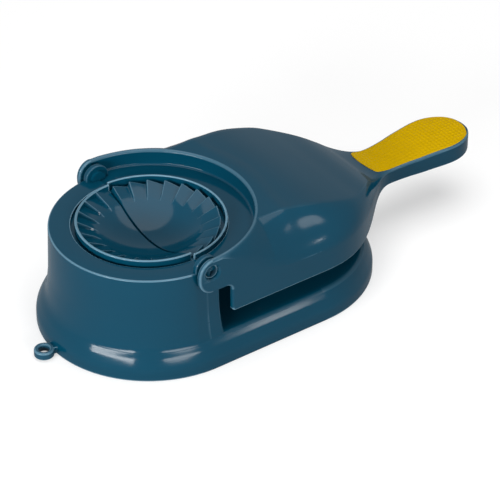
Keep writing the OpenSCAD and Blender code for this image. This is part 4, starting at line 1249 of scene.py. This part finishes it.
def make_backdrop(scene):
    world = bpy.data.worlds.new("studio_white")
    scene.world = world
    world.use_nodes = True
    tree = world.node_tree
    tree.nodes.clear()
    soft = add_node(tree, "ShaderNodeBackground", Color=(1, 1, 1, 1), Strength=WORLD_LIGHT)
    white = add_node(tree, "ShaderNodeBackground", Color=(1, 1, 1, 1), Strength=1.0)
    mix = add_node(tree, "ShaderNodeMixShader", i0=looked_at(tree), i1=soft.outputs[0], i2=white.outputs[0])
    add_node(tree, "ShaderNodeOutputWorld", Surface=mix.outputs[0])


def softbox(name, turn, height, size, watts, shape):
    """Area lamp that faces the press from `turn` degrees round it and `height` degrees up."""
    lamp = bpy.data.lights.new(name, "AREA")
    lamp.shape, lamp.size, lamp.size_y, lamp.energy = shape, size[0], size[1], watts
    made = bpy.data.objects.new(name, lamp)
    turn, height = math.radians(turn), math.radians(height)
    toward = Vector((math.cos(turn) * math.cos(height), math.sin(turn) * math.cos(height), math.sin(height)))
    made.location = LAMP_AIM + LAMP_AWAY * toward
    made.rotation_euler = toward.to_track_quat("Z", "Y").to_euler()
    bpy.context.scene.collection.objects.link(made)


def make_camera(scene):
    """Camera at the photograph's angle: its right, up and back directions, and its place in
    metres."""
    lens = bpy.data.cameras.new("camera")
    lens.lens = 191.64
    lens.sensor_width = 36
    lens.clip_start, lens.clip_end = 0.05, 20
    camera = bpy.data.objects.new("camera", lens)
    right, up, back = (0.81163, -0.58417, 0), (0.33813, 0.46980, 0.81545), (-0.47636, -0.66184, 0.57883)
    place = (-0.71135, -0.97881, 0.86927)
    turn = Matrix((right, up, back)).transposed()
    camera.matrix_world = Matrix.Translation(place) @ turn.to_4x4()
    scene.collection.objects.link(camera)
    scene.camera = camera


class PRESS_PT_panel(bpy.types.Panel):
    """Lists the press's pieces and sizes"""

    bl_idname = "PRESS_PT_panel"
    bl_label = "Dough press"
    bl_space_type = "VIEW_3D"
    bl_region_type = "UI"
    bl_category = "Dough press"

    def draw(self, context):
        for made in PIECES:
            self.layout.operator(made.bl_idname)
        for group in GROUPS:
            for key in group[1].__annotations__:
                self.layout.prop(getattr(context.scene, group[0]), key)


PIECES = (PRESS_OT_base_tray, PRESS_OT_mould_halves, PRESS_OT_lever, PRESS_OT_grip, PRESS_OT_plates,
          PRESS_OT_hinge_pins, PRESS_OT_fasteners, PRESS_OT_studio)
GROUPS = (("press_base", BaseSizes), ("press_mould", MouldSizes), ("press_lever", LeverSizes),
          ("press_finishes", Finishes))


def register():
    for made in [g[1] for g in GROUPS] + list(PIECES) + [PRESS_PT_panel]:
        bpy.utils.register_class(made)
    for name, group in GROUPS:
        setattr(bpy.types.Scene, name, PointerProperty(type=group))


def unregister():
    for name, group in GROUPS:
        delattr(bpy.types.Scene, name)
    for made in [PRESS_PT_panel] + list(PIECES)[::-1] + [g[1] for g in GROUPS]:
        bpy.utils.unregister_class(made)


def main():
    register()
    for made in PIECES:
        group, name = made.bl_idname.split(".")
        getattr(getattr(bpy.ops, group), name)()


if __name__ == "__main__":
    main()
